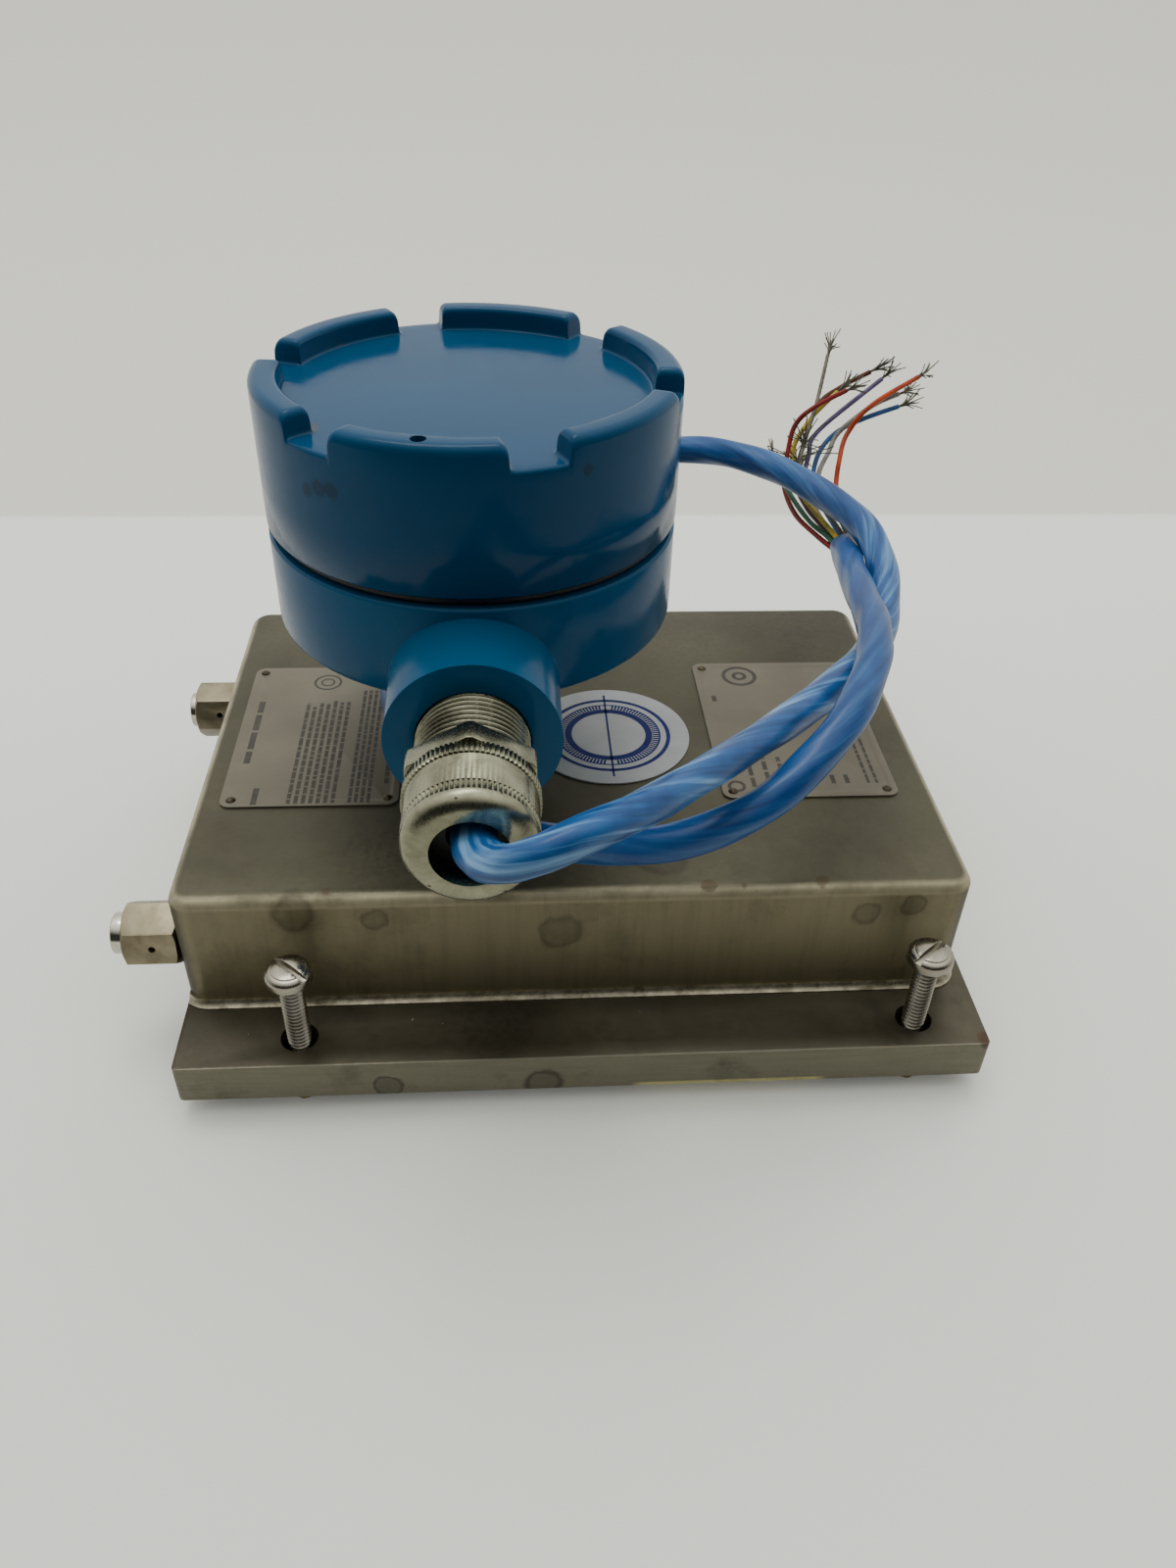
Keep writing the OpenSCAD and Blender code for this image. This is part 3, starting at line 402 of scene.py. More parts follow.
# The streaks wind with the ridges: pale ones are painted highlights and dark ones painted shade, and the noise
# is read on a ring that turns once in each lay, so it has no seam. The pale streaks are strongest on the first
# 160 mm, and past 180 mm the whole jacket is painted darker as painted shade. The UV map holds turns round the
# cable and decimetres along it.
tree = jacket["tree"]
wound = node(tree, "SeparateXYZ")
tree.links.new(node(tree, "UVMap").outputs[0], wound.inputs[0])
around, along = wound.outputs[0], wound.outputs[1]
turned = times(tree, calc(tree, "SUBTRACT", around, calc(tree, "DIVIDE", along, LAY * 10)), 2 * math.pi)
streaks = node(tree, "CombineXYZ")
tree.links.new(times(tree, calc(tree, "COSINE", turned), 1.5), streaks.inputs[0])
tree.links.new(times(tree, calc(tree, "SINE", turned), 1.5), streaks.inputs[1])
tree.links.new(times(tree, along, 2.2), streaks.inputs[2])
sheen_and_shade_noise = noise(tree, streaks.outputs[0], 1.3, 3, 0.55)
near_gland_sheen = band(tree, along, 1.6, 3.2, 0.85, 0.12)
# Painted shade: the jacket turns darker from 180 mm along the cable onward.
overlay(jacket, band(tree, along, 1.8, 3.2, 0, 0.4), colour(10, 58, 124))
# Painted highlights: pale streaks along the ridges, strongest near the gland.
overlay(jacket, times(tree, band(tree, sheen_and_shade_noise, 0.5, 0.68), near_gland_sheen), colour(136, 188, 232))
# Painted shade: dark streaks between the highlights.
overlay(jacket, band(tree, sheen_and_shade_noise, 0.47, 0.32, 0, 0.7), colour(14, 56, 112))

cable_line = catmull([from_head(p) for p in CABLE], CABLE_STEP * MM)
bm = bmesh.new()
tube_into(bm, cable_line, jacket_radius, 40, bm.loops.layers.uv.new("UVMap"), 1 / LAY)
cable = add("cable_jacket", from_bmesh("cable_jacket", bm), jacket, "meter", 60)
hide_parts("cable")

# ---------------------------------------------------------------- conductors
# Eight PVC-covered stranded cores and the bare drain wire fan out of the jacket's cut end, stripped at their
# tips, with loose shield strands among them. Each row of WIRES has the core's place in the bundle, its colour
# and its route in millimetres from the jacket's end.
WIRE_R = 0.85
WIRE_STEP = 1.2
BARE_STEPS = 3  # the covering stops this many steps short
WIRES = {
    "red": (6, (150, 24, 18), [
        (-6, 11, -1.5), (-10, 28, -1.5), (-10.5, 46, 1), (-8.5, 54.5, 9), (-5.5, 60.5, 16.5),
        (1.5, 64, 21.5), (16.5, 73.5, 25)]),
    "brown": (0, (104, 58, 40), [
        (-3, 14, -0.5), (-5.5, 32, -0.8), (-6, 48, 1.2), (-2, 61, 6.5), (5.5, 76.5, 17),
        (15, 83.5, 21.5), (29, 88, 27)]),
    "yellow": (4, (206, 182, 44), [
        (-3.5, 12, 2), (-6.5, 31, 2.5), (-7.5, 47, 4.5), (-5.5, 59, 9), (0, 67, 14),
        (6, 73, 18), (15, 80, 23)]),
    "violet": (7, (116, 104, 150), [
        (-0.5, 15, -2.5), (-2, 34, -2), (-2.5, 49, 0.5), (0.5, 60, 5.5), (5, 68, 11.5),
        (32, 85, 26)]),
    "blue": (8, (54, 106, 172), [
        (2, 17, -2.5), (1, 35, -2), (0.5, 49, 0), (3.5, 59, 6), (10, 65, 11.5), (21, 69, 15.5),
        (37, 74, 19)]),
    "orange": (1, (196, 66, 8), [
        (4.5, 14, 0), (5.5, 30, -0.5), (7, 43, 1), (9, 51, 7.5), (13, 60, 13.5),
        (22, 66, 21.5), (45, 85, 26)]),
    "white": (2, (160, 160, 152), [
        (2, 15, 2), (1.5, 35, 1.5), (2, 49, 3), (6.5, 57, 8), (11, 63, 13), (24, 71, 19.5),
        (37, 77, 22.5)]),
    "green": (5, (40, 104, 70), [
        (-4.2, 8, 0.4), (-7.5, 16, 0.9), (-9.7, 30, 1.4), (-11.8, 43, 3.6), (-13, 54, 6.5)]),
    "drain": (3, (118, 110, 92), [
        (-1, 12, 3), (-3.5, 31, 2.8), (-4.5, 48, 4.5), (-3.5, 55, 8.5), (3.5, 71, 19.5),
        (10.5, 90, 33.5)])}
end = Vector(CABLE[-1])
leaving = (end - Vector(CABLE[-2])).normalized()
across = leaving.cross(Vector((0, 0, 1))).normalized()
above = across.cross(leaving)
tinned = surface(
    "bare_strands", colour(58, 56, 44), colour(112, 110, 92), 300, 3000, (0.35, 0.5), metal=0.4)
chance = random.Random(4)


def strands(name, line, count, reach, spread, loops=0.0):
    """Bare strands that leave the last point of a line as one bundle and splay over reach, in metres."""
    bm = bmesh.new()
    tip, away = line[-1], (line[-1] - line[-3]).normalized()
    for _ in range(count):
        way = (away + Vector([chance.uniform(-spread, spread) for _ in range(3)])).normalized()
        curl = Vector([chance.uniform(-1, 1) for _ in range(3)]) * reach * (0.25 + loops)
        start = tip - away * 1.2 * MM + Vector([chance.uniform(-0.4, 0.4) * MM for _ in range(3)])
        far = reach * chance.uniform(0.6, 1.1)
        half = tip + (away + 0.6 * way).normalized() * far * 0.5 + curl * 0.3
        tube_into(bm, catmull([start, half, tip + way * far + curl], 0.8 * MM), 0.19 * MM, 5)
    return add(name, from_bmesh(name, bm), tinned, "meter")


for core, (place, rgb, route) in WIRES.items():
    turn = math.radians(45 * (place - 1))
    off = 0 if place == 0 else 0.56 * CABLE_R
    start = 0.45 * leaving + off * (math.cos(turn) * across + math.sin(turn) * above)
    points = [from_head(end + start)] + [from_head(end + Vector(p)) for p in route]
    line = catmull(points, WIRE_STEP * MM)[:-BARE_STEPS]
    if core == "drain":
        skin = tinned
        shape = lambda s, a: 0.62 * MM * (1 + 0.22 * math.cos(3 * (a - s * 900)))
    else:
        dim = tuple(c * 0.62 for c in rgb)
        skin = surface("wire_" + core, colour(*dim), colour(*rgb), 120, 1500, (0.35, 0.5))
        skin["shader"].inputs["Specular IOR Level"].default_value = 0.25
        shape = lambda s, a: WIRE_R * MM * (1 + 0.02 * math.sin(300 * s))
    bm = bmesh.new()
    tube_into(bm, line, shape, 12)
    obj = add("core_" + core, from_bmesh("core_" + core, bm), skin, "meter", 60)
    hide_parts("wire_" + core)
    ends = [strands("strands_" + core, line, 16, 0.011 if core == "green" else 0.0086, 0.24)]
    if core == "drain":
        ends.append(strands("drain_tangle", line[: round(len(line) * 0.6)], 26, 0.007, 1.3, 0.6))
        ends.append(strands("drain_curls", line[: round(len(line) * 0.52)], 26, 0.008, 1.3, 0.7))

# ---------------------------------------------------------------- room
# Pale bench in a white light tent that is bright above and behind, with one brighter patch and a weak lamp
# overhead. Only the camera sees the bench at its full brightness; the part's reflections show it dimmer toward
# the front. Past BENCH_EDGE begins a backdrop of a slightly darker tone.
BENCH_EDGE = 0.262
bm = bmesh.new()
bmesh.ops.create_grid(bm, x_segments=2, y_segments=2, size=9)
bench = bpy.data.objects.new("bench", bpy.data.meshes.new("bench"))
bm.to_mesh(bench.data)
bm.free()
bpy.context.scene.collection.objects.link(bench)
bench.location.z = -0.0001
bench_top = surface("bench_top", colour(245, 249, 240), colour(248, 252, 244), 3, 60, (0.5, 0.6), bump=0.02)
tree = bench_top["tree"]
direct = node(tree, "LightPath").outputs["Is Camera Ray"]
depth = axis_value(bench_top, 1)
nearby = blend_colours(tree, band(tree, depth, -0.55, -0.25), colour(60, 60, 58), colour(226, 226, 220))
sweep = band(tree, depth, BENCH_EDGE, BENCH_EDGE + 0.004)
overlay(bench_top, sweep, colour(232, 233, 221))
overlay(bench_top, calc(tree, "SUBTRACT", 1.0, direct), nearby)
glow = calc(tree, "SUBTRACT", band(tree, depth, -0.3, 0.2, 0.01, 0.2), times(tree, sweep, 0.1))
bench_top["shader"].inputs["Emission Color"].default_value = (1, 1, 0.97, 1)
tree.links.new(times(tree, direct, glow), bench_top["shader"].inputs["Emission Strength"])
paint(bench, bench_top)

sky = bpy.data.worlds.new("sky")
sky.use_nodes = True
bpy.context.scene.world = sky
tree = sky.node_tree
where = node(tree, "SeparateXYZ")
tree.links.new(node(tree, "TexCoord").outputs["Generated"], where.inputs[0])
back = band(tree, where.outputs[1], -0.6, 0.3, 0.04, 0.9)
overhead = band(tree, where.outputs[2], 0.52, 0.95, 0, 0.95)
tent = calc(tree, "ADD", back, overhead)
seen = node(tree, "LightPath").outputs["Is Camera Ray"]
warm = node(tree, "CombineColor")
for key, share in enumerate((1.0, 0.99, 0.95)):
    tree.links.new(times(tree, tent, share), warm.inputs[key])
backdrop = blend_colours(tree, seen, warm.outputs[0], colour(208, 209, 202))
tree.links.new(backdrop, tree.nodes["Background"].inputs["Color"])

light = bpy.data.lights.new("light_over", "AREA")
light.shape = "RECTANGLE"
light.size, light.size_y = 0.9, 0.5
light.energy = 5
lamp = bpy.data.objects.new("light_over", light)
lamp_spot = Vector((-0.2, 0.35, 1.6))
lamp.location = lamp_spot
lamp.rotation_mode = "QUATERNION"
lamp.rotation_quaternion = (Vector((0, 0, 0.05)) - lamp_spot).to_track_quat("-Z", "Y")
bpy.context.scene.collection.objects.link(lamp)

# ---------------------------------------------------------------- mounting plate
# Thick stainless plate, sawn and pickled: dull warm grey with water stains and dried drops in front. The sawn
# front face is painted paler as painted light, and a painted yellowish reflection lies along part of its lower
# edge.
FRONT_Y = -0.0938
plate_steel = surface(
    "plate_steel", colour(60, 56, 43), colour(92, 88, 71), 22, 700, (0.38, 0.55), metal=0.55, bump=0.25,
    depth=0.0003)
tree = plate_steel["tree"]
# Painted light: the sawn front face is painted paler for the light it catches from the bench.
lit_front_tint = band(tree, axis_value(plate_steel, 1), FRONT_Y, FRONT_Y - 0.0004, 0, 0.9)
overlay(plate_steel, lit_front_tint, colour(134, 131, 112))
# Painted reflection: a yellowish strip along part of the front face's lower edge.
lower_edge_reflection = band(tree, axis_value(plate_steel, 2), 0.0070, 0.0064)
strip = between(tree, axis_value(plate_steel, 0), 0.011, 0.063, 0.003)
overlay(plate_steel, times(tree, lower_edge_reflection, strip), colour(206, 196, 138))
grime(plate_steel, 55, 0.65, 0.55, 0.75, 0.55, colour(44, 38, 26))
for centre, radius in (((-52, -94.5, 8.8), 3.4), ((-12, -94.5, 8.2), 4.6)):
    stain(plate_steel, centre, radius, colour(40, 32, 22), 0.35, 0.6, 0.25)
stain(plate_steel, (104.5, -93, 17), 2.5, colour(74, 44, 28), 0.7, 0.2, 0.16)
speckle(plate_steel, 130, 0.10, 0.12, colour(170, 166, 150), 0.7)
speckle(plate_steel, 420, 0.12, 0.05, colour(160, 154, 134), 0.7)
brushed(plate_steel, (60, 60, 700), 0.14)
eased("mounting_plate", "plate_body", plate_steel, 0.5, "meter")

# ---------------------------------------------------------------- foot nuts and mounting screws
# Yellow-zinc hexagon nuts under the plate and bright slotted pan-head screws standing loose in the four holes.
yellow_zinc = surface(
    "yellow_zinc", colour(120, 104, 58), colour(196, 178, 118), 200, 2000, (0.3, 0.45), metal=0.7)
eased("foot_nuts", "foot_nut_set", yellow_zinc, 0.2, "meter")
bright_steel = surface(
    "bright_steel", colour(138, 134, 121), colour(178, 173, 158), 90, 2500, (0.18, 0.3), metal=1.0, bump=0.05)
speckle(bright_steel, 500, 0.2, 0.1, colour(70, 60, 46), 0.5)
eased("mounting_screws", "screw_set", bright_steel, 0.12, "meter", 40, 2)

# ---------------------------------------------------------------- sensor case
# Folded stainless cover over the flow tubes, welded to the plate all round. Its front wall is painted paler as
# painted light, its top bends carry a patchy painted highlight, and dried drops lie along the front.
CASE_FRONT = -0.0715
case_steel = surface(
    "case_steel", colour(69, 66, 50), colour(93, 90, 70), 14, 800, (0.36, 0.52), metal=0.55, bump=0.2,
    depth=0.0003)
tree = case_steel["tree"]
height = axis_value(case_steel, 2)
low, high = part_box("case_shell")
# Painted light: the front wall is painted paler for the light it catches.
lit_front_wall = band(tree, axis_value(case_steel, 1), CASE_FRONT, CASE_FRONT - 0.0011, 0, 0.8)
overlay(case_steel, lit_front_wall, colour(146, 138, 108))
grime(case_steel, 45, 0.7, 0.52, 0.8, 0.5, colour(60, 52, 38))
# Painted highlight: a patchy bright band along the top bends, where they catch the light.
bend_foot = band(tree, height, high.z - 0.0034, high.z - 0.0018)
bend_head = band(tree, height, high.z - 0.0001, high.z - 0.0007)
patchy_highlight = band(tree, noise(tree, case_steel["place"], 90, 4), 0.3, 0.6, 0.35, 1.0)
overlay(case_steel, times(tree, times(tree, bend_foot, bend_head, True), patchy_highlight), colour(192, 184, 152))
for centre, radius in (
        ((-54, -72.8, 47), 3), ((73, -72.8, 45), 3.5), ((85, -72.8, 48), 3), ((-7, -72.8, 41), 5),
        ((-74, -72.8, 49), 5), ((20, -60, 54.3), 6)):
    stain(case_steel, centre, radius, colour(46, 38, 28), 0.25, 0.35, 0.3)
for centre, radius in (
        ((60.5, -70, 55), 1.9), ((31, -70.5, 55), 1.5), ((40, -71, 54.8), 1.1), ((-66, -70, 55), 1.6)):
    stain(case_steel, centre, radius, colour(80, 62, 34), 0.6, 0.3, 0.3)
speckle(case_steel, 150, 0.09, 0.10, colour(160, 154, 136), 0.6)
speckle(case_steel, 420, 0.12, 0.04, colour(168, 162, 142), 0.7)
brushed(case_steel, (500, 500, 40), 0.13)
eased("case_shell", "case_cover", case_steel, 0, "meter")
bead_steel = surface(
    "bead_steel", colour(120, 113, 94), colour(190, 184, 160), 300, 1500, (0.26, 0.36), metal=0.8, bump=0.25,
    depth=0.0003)
eased("case_weld", "case_weld_bead", bead_steel, 0, "meter")

# ---------------------------------------------------------------- nameplates and badge
# Two etched aluminium plates riveted at the corners, printed with plain rules and blank fields only, and a
# round white badge with blue rings. The prints are placed in millimetres from the middle of the mounting plate.
PRINT_LIFT = 0.00003
BADGE_X, BADGE_Y = 10.3, -4
plate_metal = surface(
    "nameplate_metal", colour(108, 103, 86), colour(124, 119, 101), 30, 1200, (0.42, 0.52), metal=0.25,
    bump=0.1)
eased("left_nameplate", "nameplate_left", plate_metal, 0.1, "meter")
eased("right_nameplate", "nameplate_right", plate_metal, 0.1, "meter")
rivet_metal = surface("rivet_metal", colour(44, 38, 28), colour(96, 84, 62), 400, 2000, (0.4, 0.5), metal=0.7)
paint(nodes["nameplate_rivets"], rivet_metal)
ink = surface("ink", colour(48, 44, 36), colour(70, 65, 54), 200, 1500, (0.5, 0.6))


def dashes(bm, x, y0, y1, width, z, pitch=(1.4, 4.2), gap=0.5):
    """A printed rule along Y broken into short blocks, in millimetres."""
    y = y0
    while y < y1:
        stop = min(y1, y + chance.uniform(*pitch))
        corners = [(x, y), (x + width, y), (x + width, stop), (x, stop)]
        bm.faces.new([bm.verts.new(Vector((cx, cy, z)) * MM) for cx, cy in corners])
        y = stop + gap


def ring_into(bm, cx, cy, z, inner, outer, start=0.0, stop=360.0, steps=96):
    """A flat printed ring or arc, in millimetres."""
    pairs = []
    for k in range(steps + 1):
        a = math.radians(start + (stop - start) * k / steps)
        spots = [Vector((cx + r * math.cos(a), cy + r * math.sin(a), z)) for r in (inner, outer)]
        pairs.append([bm.verts.new(spot * MM) for spot in spots])
    for a, b in zip(pairs, pairs[1:]):
        bm.faces.new((a[0], a[1], b[1], b[0]))


ink_z = (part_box("left_nameplate")[1].z + PRINT_LIFT) / MM
bm = bmesh.new()
dashes(bm, -94.8, -16, 15.5, 1.8, ink_z, (5, 9), 1.2)
dashes(bm, -90, -35, -27.5, 1.6, ink_z, (7, 8), 1)
for k in range(7):
    dashes(bm, -80.4 + 2.0 * k, -34.8, 15 + chance.uniform(-3, 1), 1.1, ink_z)
for k in range(4):
    dashes(bm, -63.8 + 1.7 * k, -34.8, 21, 1.0, ink_z)
dashes(bm, -54.4, -26.5, -17.5, 1.2, ink_z)
ring_into(bm, -75.4, 26, ink_z, 3.6, 4.3)
ring_into(bm, -75.4, 26, ink_z, 1.6, 2.2)
add("nameplate_left_print", from_bmesh("nameplate_left_print", bm), ink, "meter")
bm = bmesh.new()
ring_into(bm, 54.6, 26.9, ink_z, 4.4, 5.6)
ring_into(bm, 54.6, 26.9, ink_z, 1.2, 2.4)
dashes(bm, 44, 12.6, 15.6, 1.4, ink_z, (3, 3.2))
for x in (82.2, 84.6):
    dashes(bm, x, -30, 20, 0.9, ink_z)
for x, y in ((72, -30), (76, -30), (49, -31), (53.5, -30), (58, -30), (62.5, -30)):
    dashes(bm, x, y, y + 4 if x > 70 else y + 13, 1.3, ink_z, (4, 6), 1)
ring_into(bm, 44.6, -30.5, ink_z, 1.6, 2.6)
add("nameplate_right_print", from_bmesh("nameplate_right_print", bm), ink, "meter")

badge_white = surface(
    "badge_white", colour(168, 172, 172), colour(186, 190, 190), 60, 900, (0.3, 0.42), bump=0.05)
speckle(badge_white, 220, 0.12, 0.12, colour(96, 88, 70), 0.8)
eased("round_badge", "badge_disc", badge_white, 0.12, "meter")
blue_ink = surface("blue_ink", colour(16, 30, 98), colour(26, 44, 116), 200, 1500, (0.5, 0.6))
blue_ink["shader"].inputs["Specular IOR Level"].default_value = 0.15
badge_z = (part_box("round_badge")[1].z + PRINT_LIFT) / MM
bm = bmesh.new()
ring_into(bm, BADGE_X, BADGE_Y, badge_z, 17.2, 18.4)
ring_into(bm, BADGE_X, BADGE_Y, badge_z, 11.0, 13.0)
ring_into(bm, BADGE_X, BADGE_Y, badge_z, 15.0, 15.5)
for k in range(90):
    if k % 45 not in (21, 22, 23):
        ring_into(bm, BADGE_X, BADGE_Y, badge_z, 13.1, 15.0, 4 * k, 4 * k + 2.4, 2)
divider = [(10.0, 16.8), (10.6, 16.8), (10.6, -24.8), (10.0, -24.8)]
bm.faces.new([bm.verts.new(Vector((x, y, badge_z)) * MM) for x, y in divider])
add("badge_rings", from_bmesh("badge_rings", bm), blue_ink, "meter")

# ---------------------------------------------------------------- process fittings
# Face-seal fittings on the left wall: satin swivel nuts with a leak hole, pushed back off bright sealing heads.
fitting_steel = surface(
    "fitting_steel", colour(116, 107, 84), colour(164, 155, 130), 90, 1600, (0.28, 0.42), metal=0.85)
eased("inlet_nut", "inlet_swivel_nut", fitting_steel, 0.25, "inlet_swivel")
eased("outlet_nut", "outlet_swivel_nut", fitting_steel, 0.25, "outlet_swivel")
polished = surface(
    "polished_steel", colour(190, 186, 172), colour(226, 222, 208), 120, 2400, (0.1, 0.2), metal=1.0, bump=0.05)
eased("inlet_fitting", "inlet_sealing_head", polished, 0.4, "meter")
eased("outlet_fitting", "outlet_sealing_head", polished, 0.4, "meter")

# ---------------------------------------------------------------- flow tubes, coils and manifolds
# Closed inside the case: drawn stainless loops on machined blocks, wound coils, ground magnets, a ceramic
# temperature sensor and a glass-sealed header.
drawn_steel = surface(
    "drawn_steel", colour(140, 138, 132), colour(186, 184, 178), 80, 1800, (0.22, 0.34), metal=0.9)
for side in ("inlet", "outlet"):
    paint(nodes[side + "_manifold"], drawn_steel)
    paint(nodes[side + "_brace"], drawn_steel)
for side in ("lower", "upper"):
    paint(nodes[side + "_flow_tube"], drawn_steel)
winding = surface(
    "coil_winding", colour(96, 46, 22), colour(170, 92, 48), 60, 2600, (0.25, 0.4), coat=0.4, bump=0.6,
    stretch=(1, 1, 6))
ground = surface(
    "ground_magnet", colour(92, 92, 92), colour(140, 140, 138), 150, 2200, (0.25, 0.4), metal=0.8)
for name in ("drive", "inlet_pickoff", "outlet_pickoff"):
    paint(nodes[name + "_coil"], winding)
    paint(nodes[name + "_magnet"], ground)
paint(nodes["temperature_sensor"], surface(
    "sensor_ceramic", colour(206, 202, 190), colour(226, 222, 212), 80, 1500, (0.2, 0.3)))
paint(nodes["feedthrough"], surface(
    "glass_seal", colour(30, 36, 40), colour(56, 62, 66), 120, 1800, (0.1, 0.2), coat=0.6))

# ---------------------------------------------------------------- junction box and neck
# Cast aluminium box in glossy blue enamel on a short pipe neck, with a round boss for the gland. The enamel is
# chipped in a few places, and stops at the shoulder: the threaded spigot above lies deep in the gap under the
# cover and is painted near-black as painted shade.
SHOULDER_Z = 0.1243
enamel = surface(
    "blue_enamel", colour(0, 75, 115), colour(0, 83, 123), 16, 260, (0.12, 0.24), bump=0.06, depth=0.0004)
enamel["shader"].inputs["Specular IOR Level"].default_value = 0.16
speckle(enamel, 95, 0.045, 0.35, colour(10, 26, 38), 0.9)
speckle(enamel, 60, 0.03, 0.04, colour(170, 190, 198), 0.6)
# Painted shade: the spigot above the shoulder, in the gap under the cover, is painted near-black.
gap_shade = band(enamel["tree"], axis_value(enamel, 2), SHOULDER_Z, SHOULDER_Z + 0.0005)
overlay(enamel, gap_shade, colour(9, 10, 11))
paint(nodes["neck"], enamel)
eased("junction_box", "box_casting", enamel, 0.8, "meter")

# ---------------------------------------------------------------- terminals in the box
# Moulded barrier block with nine clamp screws, its two fixing screws and the green earth screw.
paint(nodes["terminal_block"], surface(
    "terminal_plastic", colour(26, 26, 26), colour(44, 44, 44), 60, 1200, (0.4, 0.55)))
paint(nodes["terminal_screws"], bright_steel)
paint(nodes["block_screws"], bright_steel)
paint(nodes["ground_screw"], surface(
    "earth_green", colour(30, 92, 52), colour(56, 132, 78), 200, 1500, (0.3, 0.45), metal=0.4))

# ---------------------------------------------------------------- screw cover
# Deep cast cover with six wide lugs on its rim for a spanner bar, a locking-screw hole in the front lug, and an
# O-ring in its lip. Two profiles, through a lug and between two lugs, are turned about the head's axis, and
# each lug's ends blend from one to the other. Measures are in millimetres, angles in degrees from +X.
cover_enamel = surface(
    "cover_enamel", colour(0, 69, 107), colour(0, 76, 116), 16, 260, (0.1, 0.2), bump=0.06, depth=0.0004)
cover_enamel["shader"].inputs["Specular IOR Level"].default_value = 0.17
low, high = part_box("screw_cover")
HEAD = Vector((HEAD_X * MM, 0, 0))
COVER_R = (high.x - low.x) / 2 / MM
TOP, LIP = high.z / MM, low.z / MM
LUG_RISE, LUG_DEEP, LUG_EDGE = 5.8, 7.2, 2.4  # height over the disc, width inward from the rim, outer rounding
LUG_TURN, LUG_ARC = 17.85, 44.4  # middle of the first lug and the angle that each spans
LUG_R = 50  # radius at which the shape of a lug's ends is measured
DISC = TOP - LUG_RISE
BORE, BORE_TOP = 48.6, LIP + 13.7
LOCK_TURN, LOCK_AT, LOCK_R = -101.7, 49, 1.8  # the locking screw's hole


def arc(cx, cz, r, start, stop, steps):
    """Points on an arc of a profile, from start to stop in degrees."""
    return [(cx + r * math.cos(math.radians(start + (stop - start) * k / steps)),
             cz + r * math.sin(math.radians(start + (stop - start) * k / steps))) for k in range(steps + 1)]


inner = COVER_R - LUG_DEEP
underside = [
    (COVER_R - 0.6, LIP), (51.8, LIP), (51.7, LIP + 0.8), (BORE, LIP + 0.8), (BORE, BORE_TOP),
    (BORE - 1, BORE_TOP), (BORE - 1, DISC - 4.5), (0.5, DISC - 4.5)]
fillet = arc(inner - 0.9, DISC + 0.9, 0.9, -90, 0, 4)
lug = ([(0.5, DISC), (20, DISC), (35, DISC), (inner - 2.5, DISC)] + fillet + [(inner + 0.1, DISC + 3.2)]
       + arc(inner + 1.7, TOP - 1.5, 1.5, 180, 90, 5) + [(inner + 3.5, TOP)]
       + arc(COVER_R - LUG_EDGE, TOP - LUG_EDGE, LUG_EDGE, 90, 0, 7)
       + [(COVER_R, DISC - 3), (COVER_R, LIP + 12), (COVER_R, LIP + 0.6)] + underside)
plain = []
for r, z in lug:
    if z > DISC - 1e-6 and r < COVER_R - 2.5:
        plain.append((r, DISC))
    elif z > DISC:
        plain.append(None)
    else:
        plain.append((r, z))
blank = [k for k, p in enumerate(plain) if p is None]
round_edge = arc(COVER_R - 1.1, DISC - 1.1, 1.1, 90, 0, len(blank) - 1)
for k, p in zip(blank, round_edge):
    plain[k] = p
lug_end = [(t, z / LUG_RISE) for t, z in arc(-1.2, 1.0, 1.0, -90, 0, 4) + arc(1.9, 3.9, 1.9, 175, 90, 6)]
columns = []
for k in range(6):
    middle = LUG_TURN + 60 * k
    for t, w in lug_end:
        columns.append((middle - LUG_ARC / 2 + math.degrees(t / LUG_R), w))
    columns += [(middle - LUG_ARC / 2 + 3 + (LUG_ARC - 6) * j / 14, 1) for j in range(15)]
    for t, w in lug_end[::-1]:
        columns.append((middle + LUG_ARC / 2 - math.degrees(t / LUG_R), w))
    columns += [(middle + LUG_ARC / 2 + 3 + (60 - LUG_ARC - 6) * j / 4, 0) for j in range(5)]
bm = bmesh.new()
grid = []
for angle, w in columns:
    a = math.radians(angle)
    column = [(p[0] + w * (q[0] - p[0]), p[1] + w * (q[1] - p[1])) for p, q in zip(plain, lug)]
    grid.append([bm.verts.new(HEAD + Vector((r * math.cos(a), r * math.sin(a), z)) * MM) for r, z in column])
for a, b in zip(grid, grid[1:] + grid[:1]):
    for j in range(len(lug) - 1):
        bm.faces.new((a[j], b[j], b[j + 1], a[j + 1]))
bm.faces.new([column[0] for column in grid])
bm.faces.new([column[-1] for column in grid[::-1]])
cover = add("cover_casting", from_bmesh("cover_casting", bm), cover_enamel, "cover", 50)
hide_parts("screw_cover")
lock = math.radians(LOCK_TURN)
drill = bpy.data.meshes.new("lock_drill")
bm = bmesh.new()
bored_at = HEAD + Vector((LOCK_AT * math.cos(lock), LOCK_AT * math.sin(lock), TOP)) * MM
bmesh.ops.create_cone(bm, cap_ends=True, segments=24, radius1=LOCK_R * MM, radius2=LOCK_R * MM, depth=16 * MM,
                      matrix=Matrix.Translation(bored_at))
bm.to_mesh(drill)
bm.free()
driller = bpy.data.objects.new("lock_drill", drill)
bpy.context.scene.collection.objects.link(driller)
cut = cover.modifiers.new("lock", "BOOLEAN")
cut.object = driller
cut.operation = "DIFFERENCE"
bpy.context.view_layer.update()
bored = bpy.data.meshes.new_from_object(cover.evaluated_get(bpy.context.evaluated_depsgraph_get()))
cover.modifiers.clear()
cover.data = bored
bpy.data.objects.remove(driller)
speckle(cover_enamel, 95, 0.045, 0.35, colour(10, 26, 38), 0.9)
speckle(cover_enamel, 70, 0.04, 0.04, colour(170, 190, 198), 0.6)
SCUFF, CHIP, DIRT = (6, 30, 34), (168, 176, 174), (74, 72, 56)
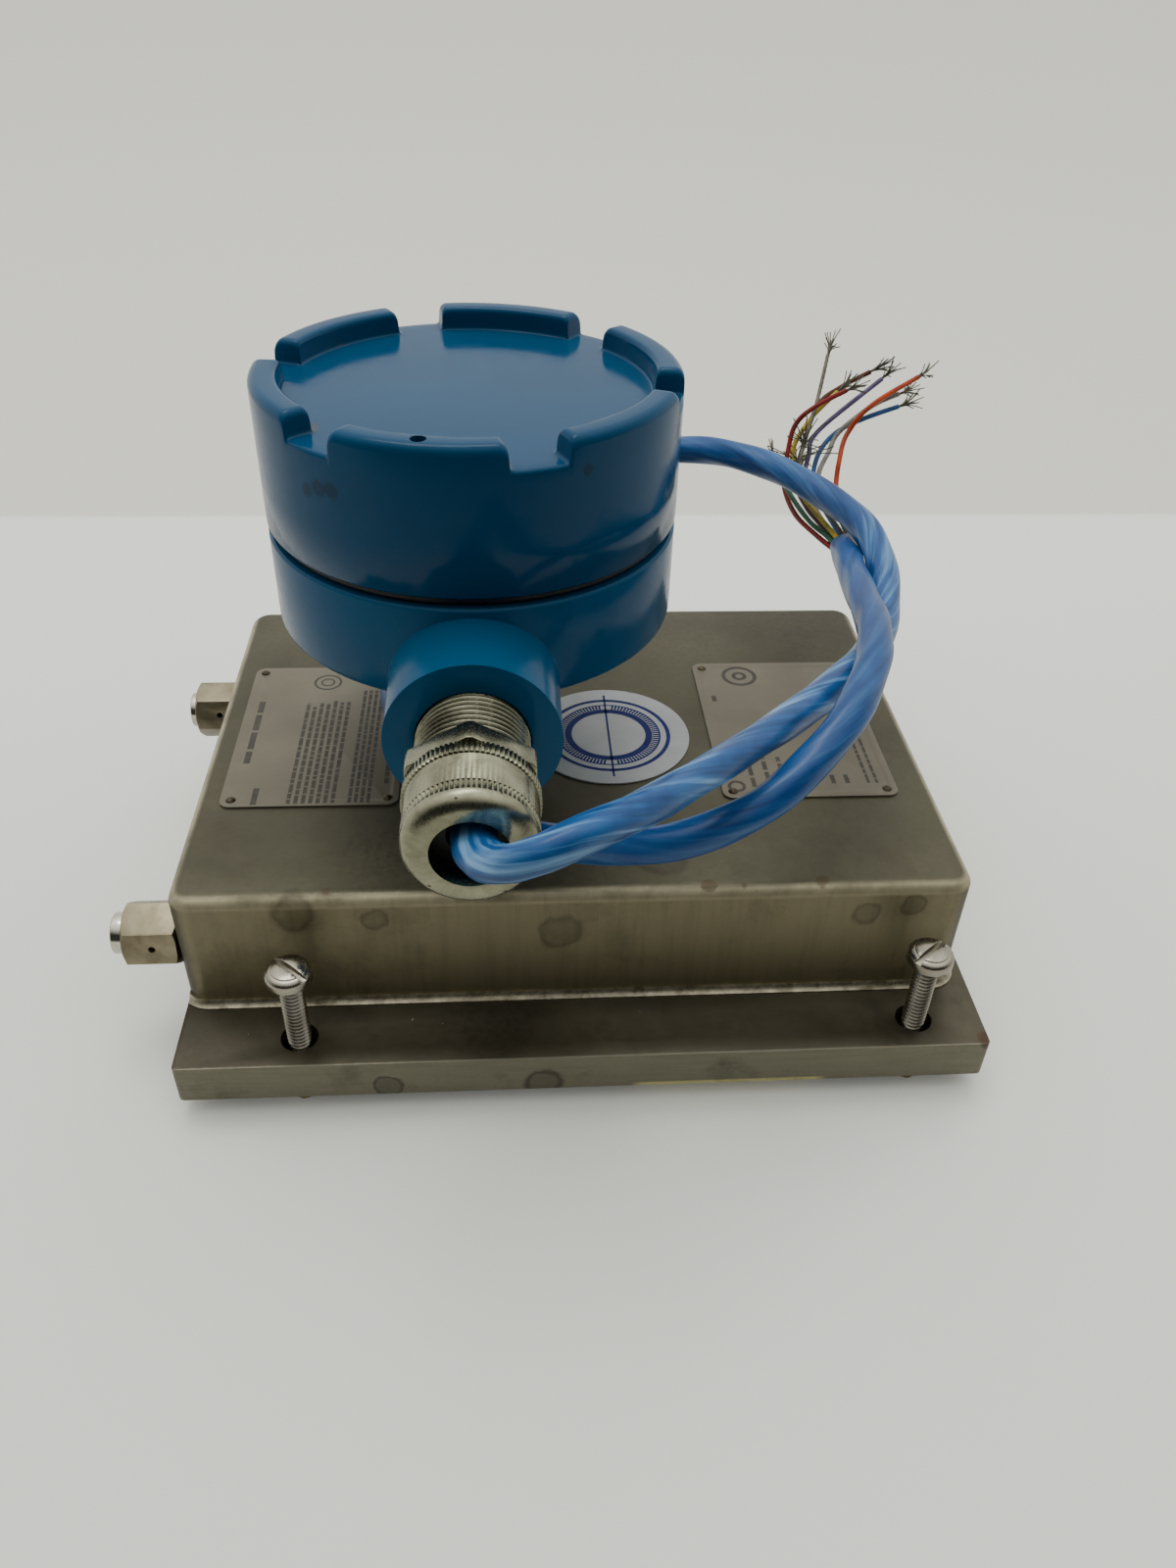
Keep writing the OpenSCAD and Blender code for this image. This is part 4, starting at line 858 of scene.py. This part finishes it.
for centre, radius, tint in (
        ((-60.4, -41.4, 149), 1.5, SCUFF), ((-57.2, -43.6, 149.5), 1.8, SCUFF), ((-54, -45.6, 151), 1.1, SCUFF),
        ((-63.5, -38.6, 147), 1.0, SCUFF), ((-1.1, -45.8, 155), 0.7, SCUFF), ((2.9, -43.3, 144.6), 0.7, SCUFF),
        ((-78.7, -14, 160.5), 1.0, CHIP), ((-78.4, -15.5, 156.2), 0.7, CHIP), ((-64, -27, 157.1), 3, DIRT),
        ((-2, -36, 157.1), 3, DIRT), ((-64, 32, 157.1), 3, DIRT)):
    stain(cover_enamel, centre, radius, colour(*tint), 0.45, 0.15, 0.5)
rubber = surface("black_rubber", colour(16, 16, 17), colour(34, 34, 35), 80, 1400, (0.5, 0.65))
paint(nodes["cover_seal"], rubber)

# ---------------------------------------------------------------- cable gland
# Zinc-plated steel gland: tapered pipe thread into the boss, hexagon, knurled compression cap, rubber bush
# inside. The grooves of the pipe thread, behind THREAD_END and near the gland's axis, are darkened with painted
# shade.
THREAD_END, GROOVE_R = -0.0868, 0.0125
zinc = surface(
    "gland_zinc", colour(106, 106, 87), colour(166, 166, 141), 110, 1600, (0.18, 0.3), metal=1.0, bump=0.14,
    depth=0.0003)
speckle(zinc, 330, 0.2, 0.25, colour(42, 40, 32), 0.85)
speckle(zinc, 120, 0.14, 0.2, colour(88, 78, 52), 0.6)
tree = zinc["tree"]
flat = node(tree, "VectorMath", operation="MULTIPLY")
tree.links.new(zinc["place"], flat.inputs[0])
flat.inputs[1].default_value = (1, 0, 1)
off_axis = node(tree, "VectorMath", operation="DISTANCE")
tree.links.new(flat.outputs[0], off_axis.inputs[0])
off_axis.inputs[1].default_value = (HEAD_X * MM, 0, BOSS_Z * MM)
# Painted shade: the grooves of the pipe thread are darkened.
threads = band(tree, axis_value(zinc, 1), THREAD_END, THREAD_END + 0.0008)
groove_shade = band(tree, off_axis.outputs["Value"], GROOVE_R + 0.0004, GROOVE_R, 0, 0.85)
overlay(zinc, times(tree, threads, groove_shade, True), colour(24, 22, 16))
eased("gland_body", "gland_body_metal", zinc, 0.25, "meter")
eased("gland_cap", "gland_cap_metal", zinc, 0.15, "meter", 40, 2)
paint(nodes["gland_bush"], rubber)
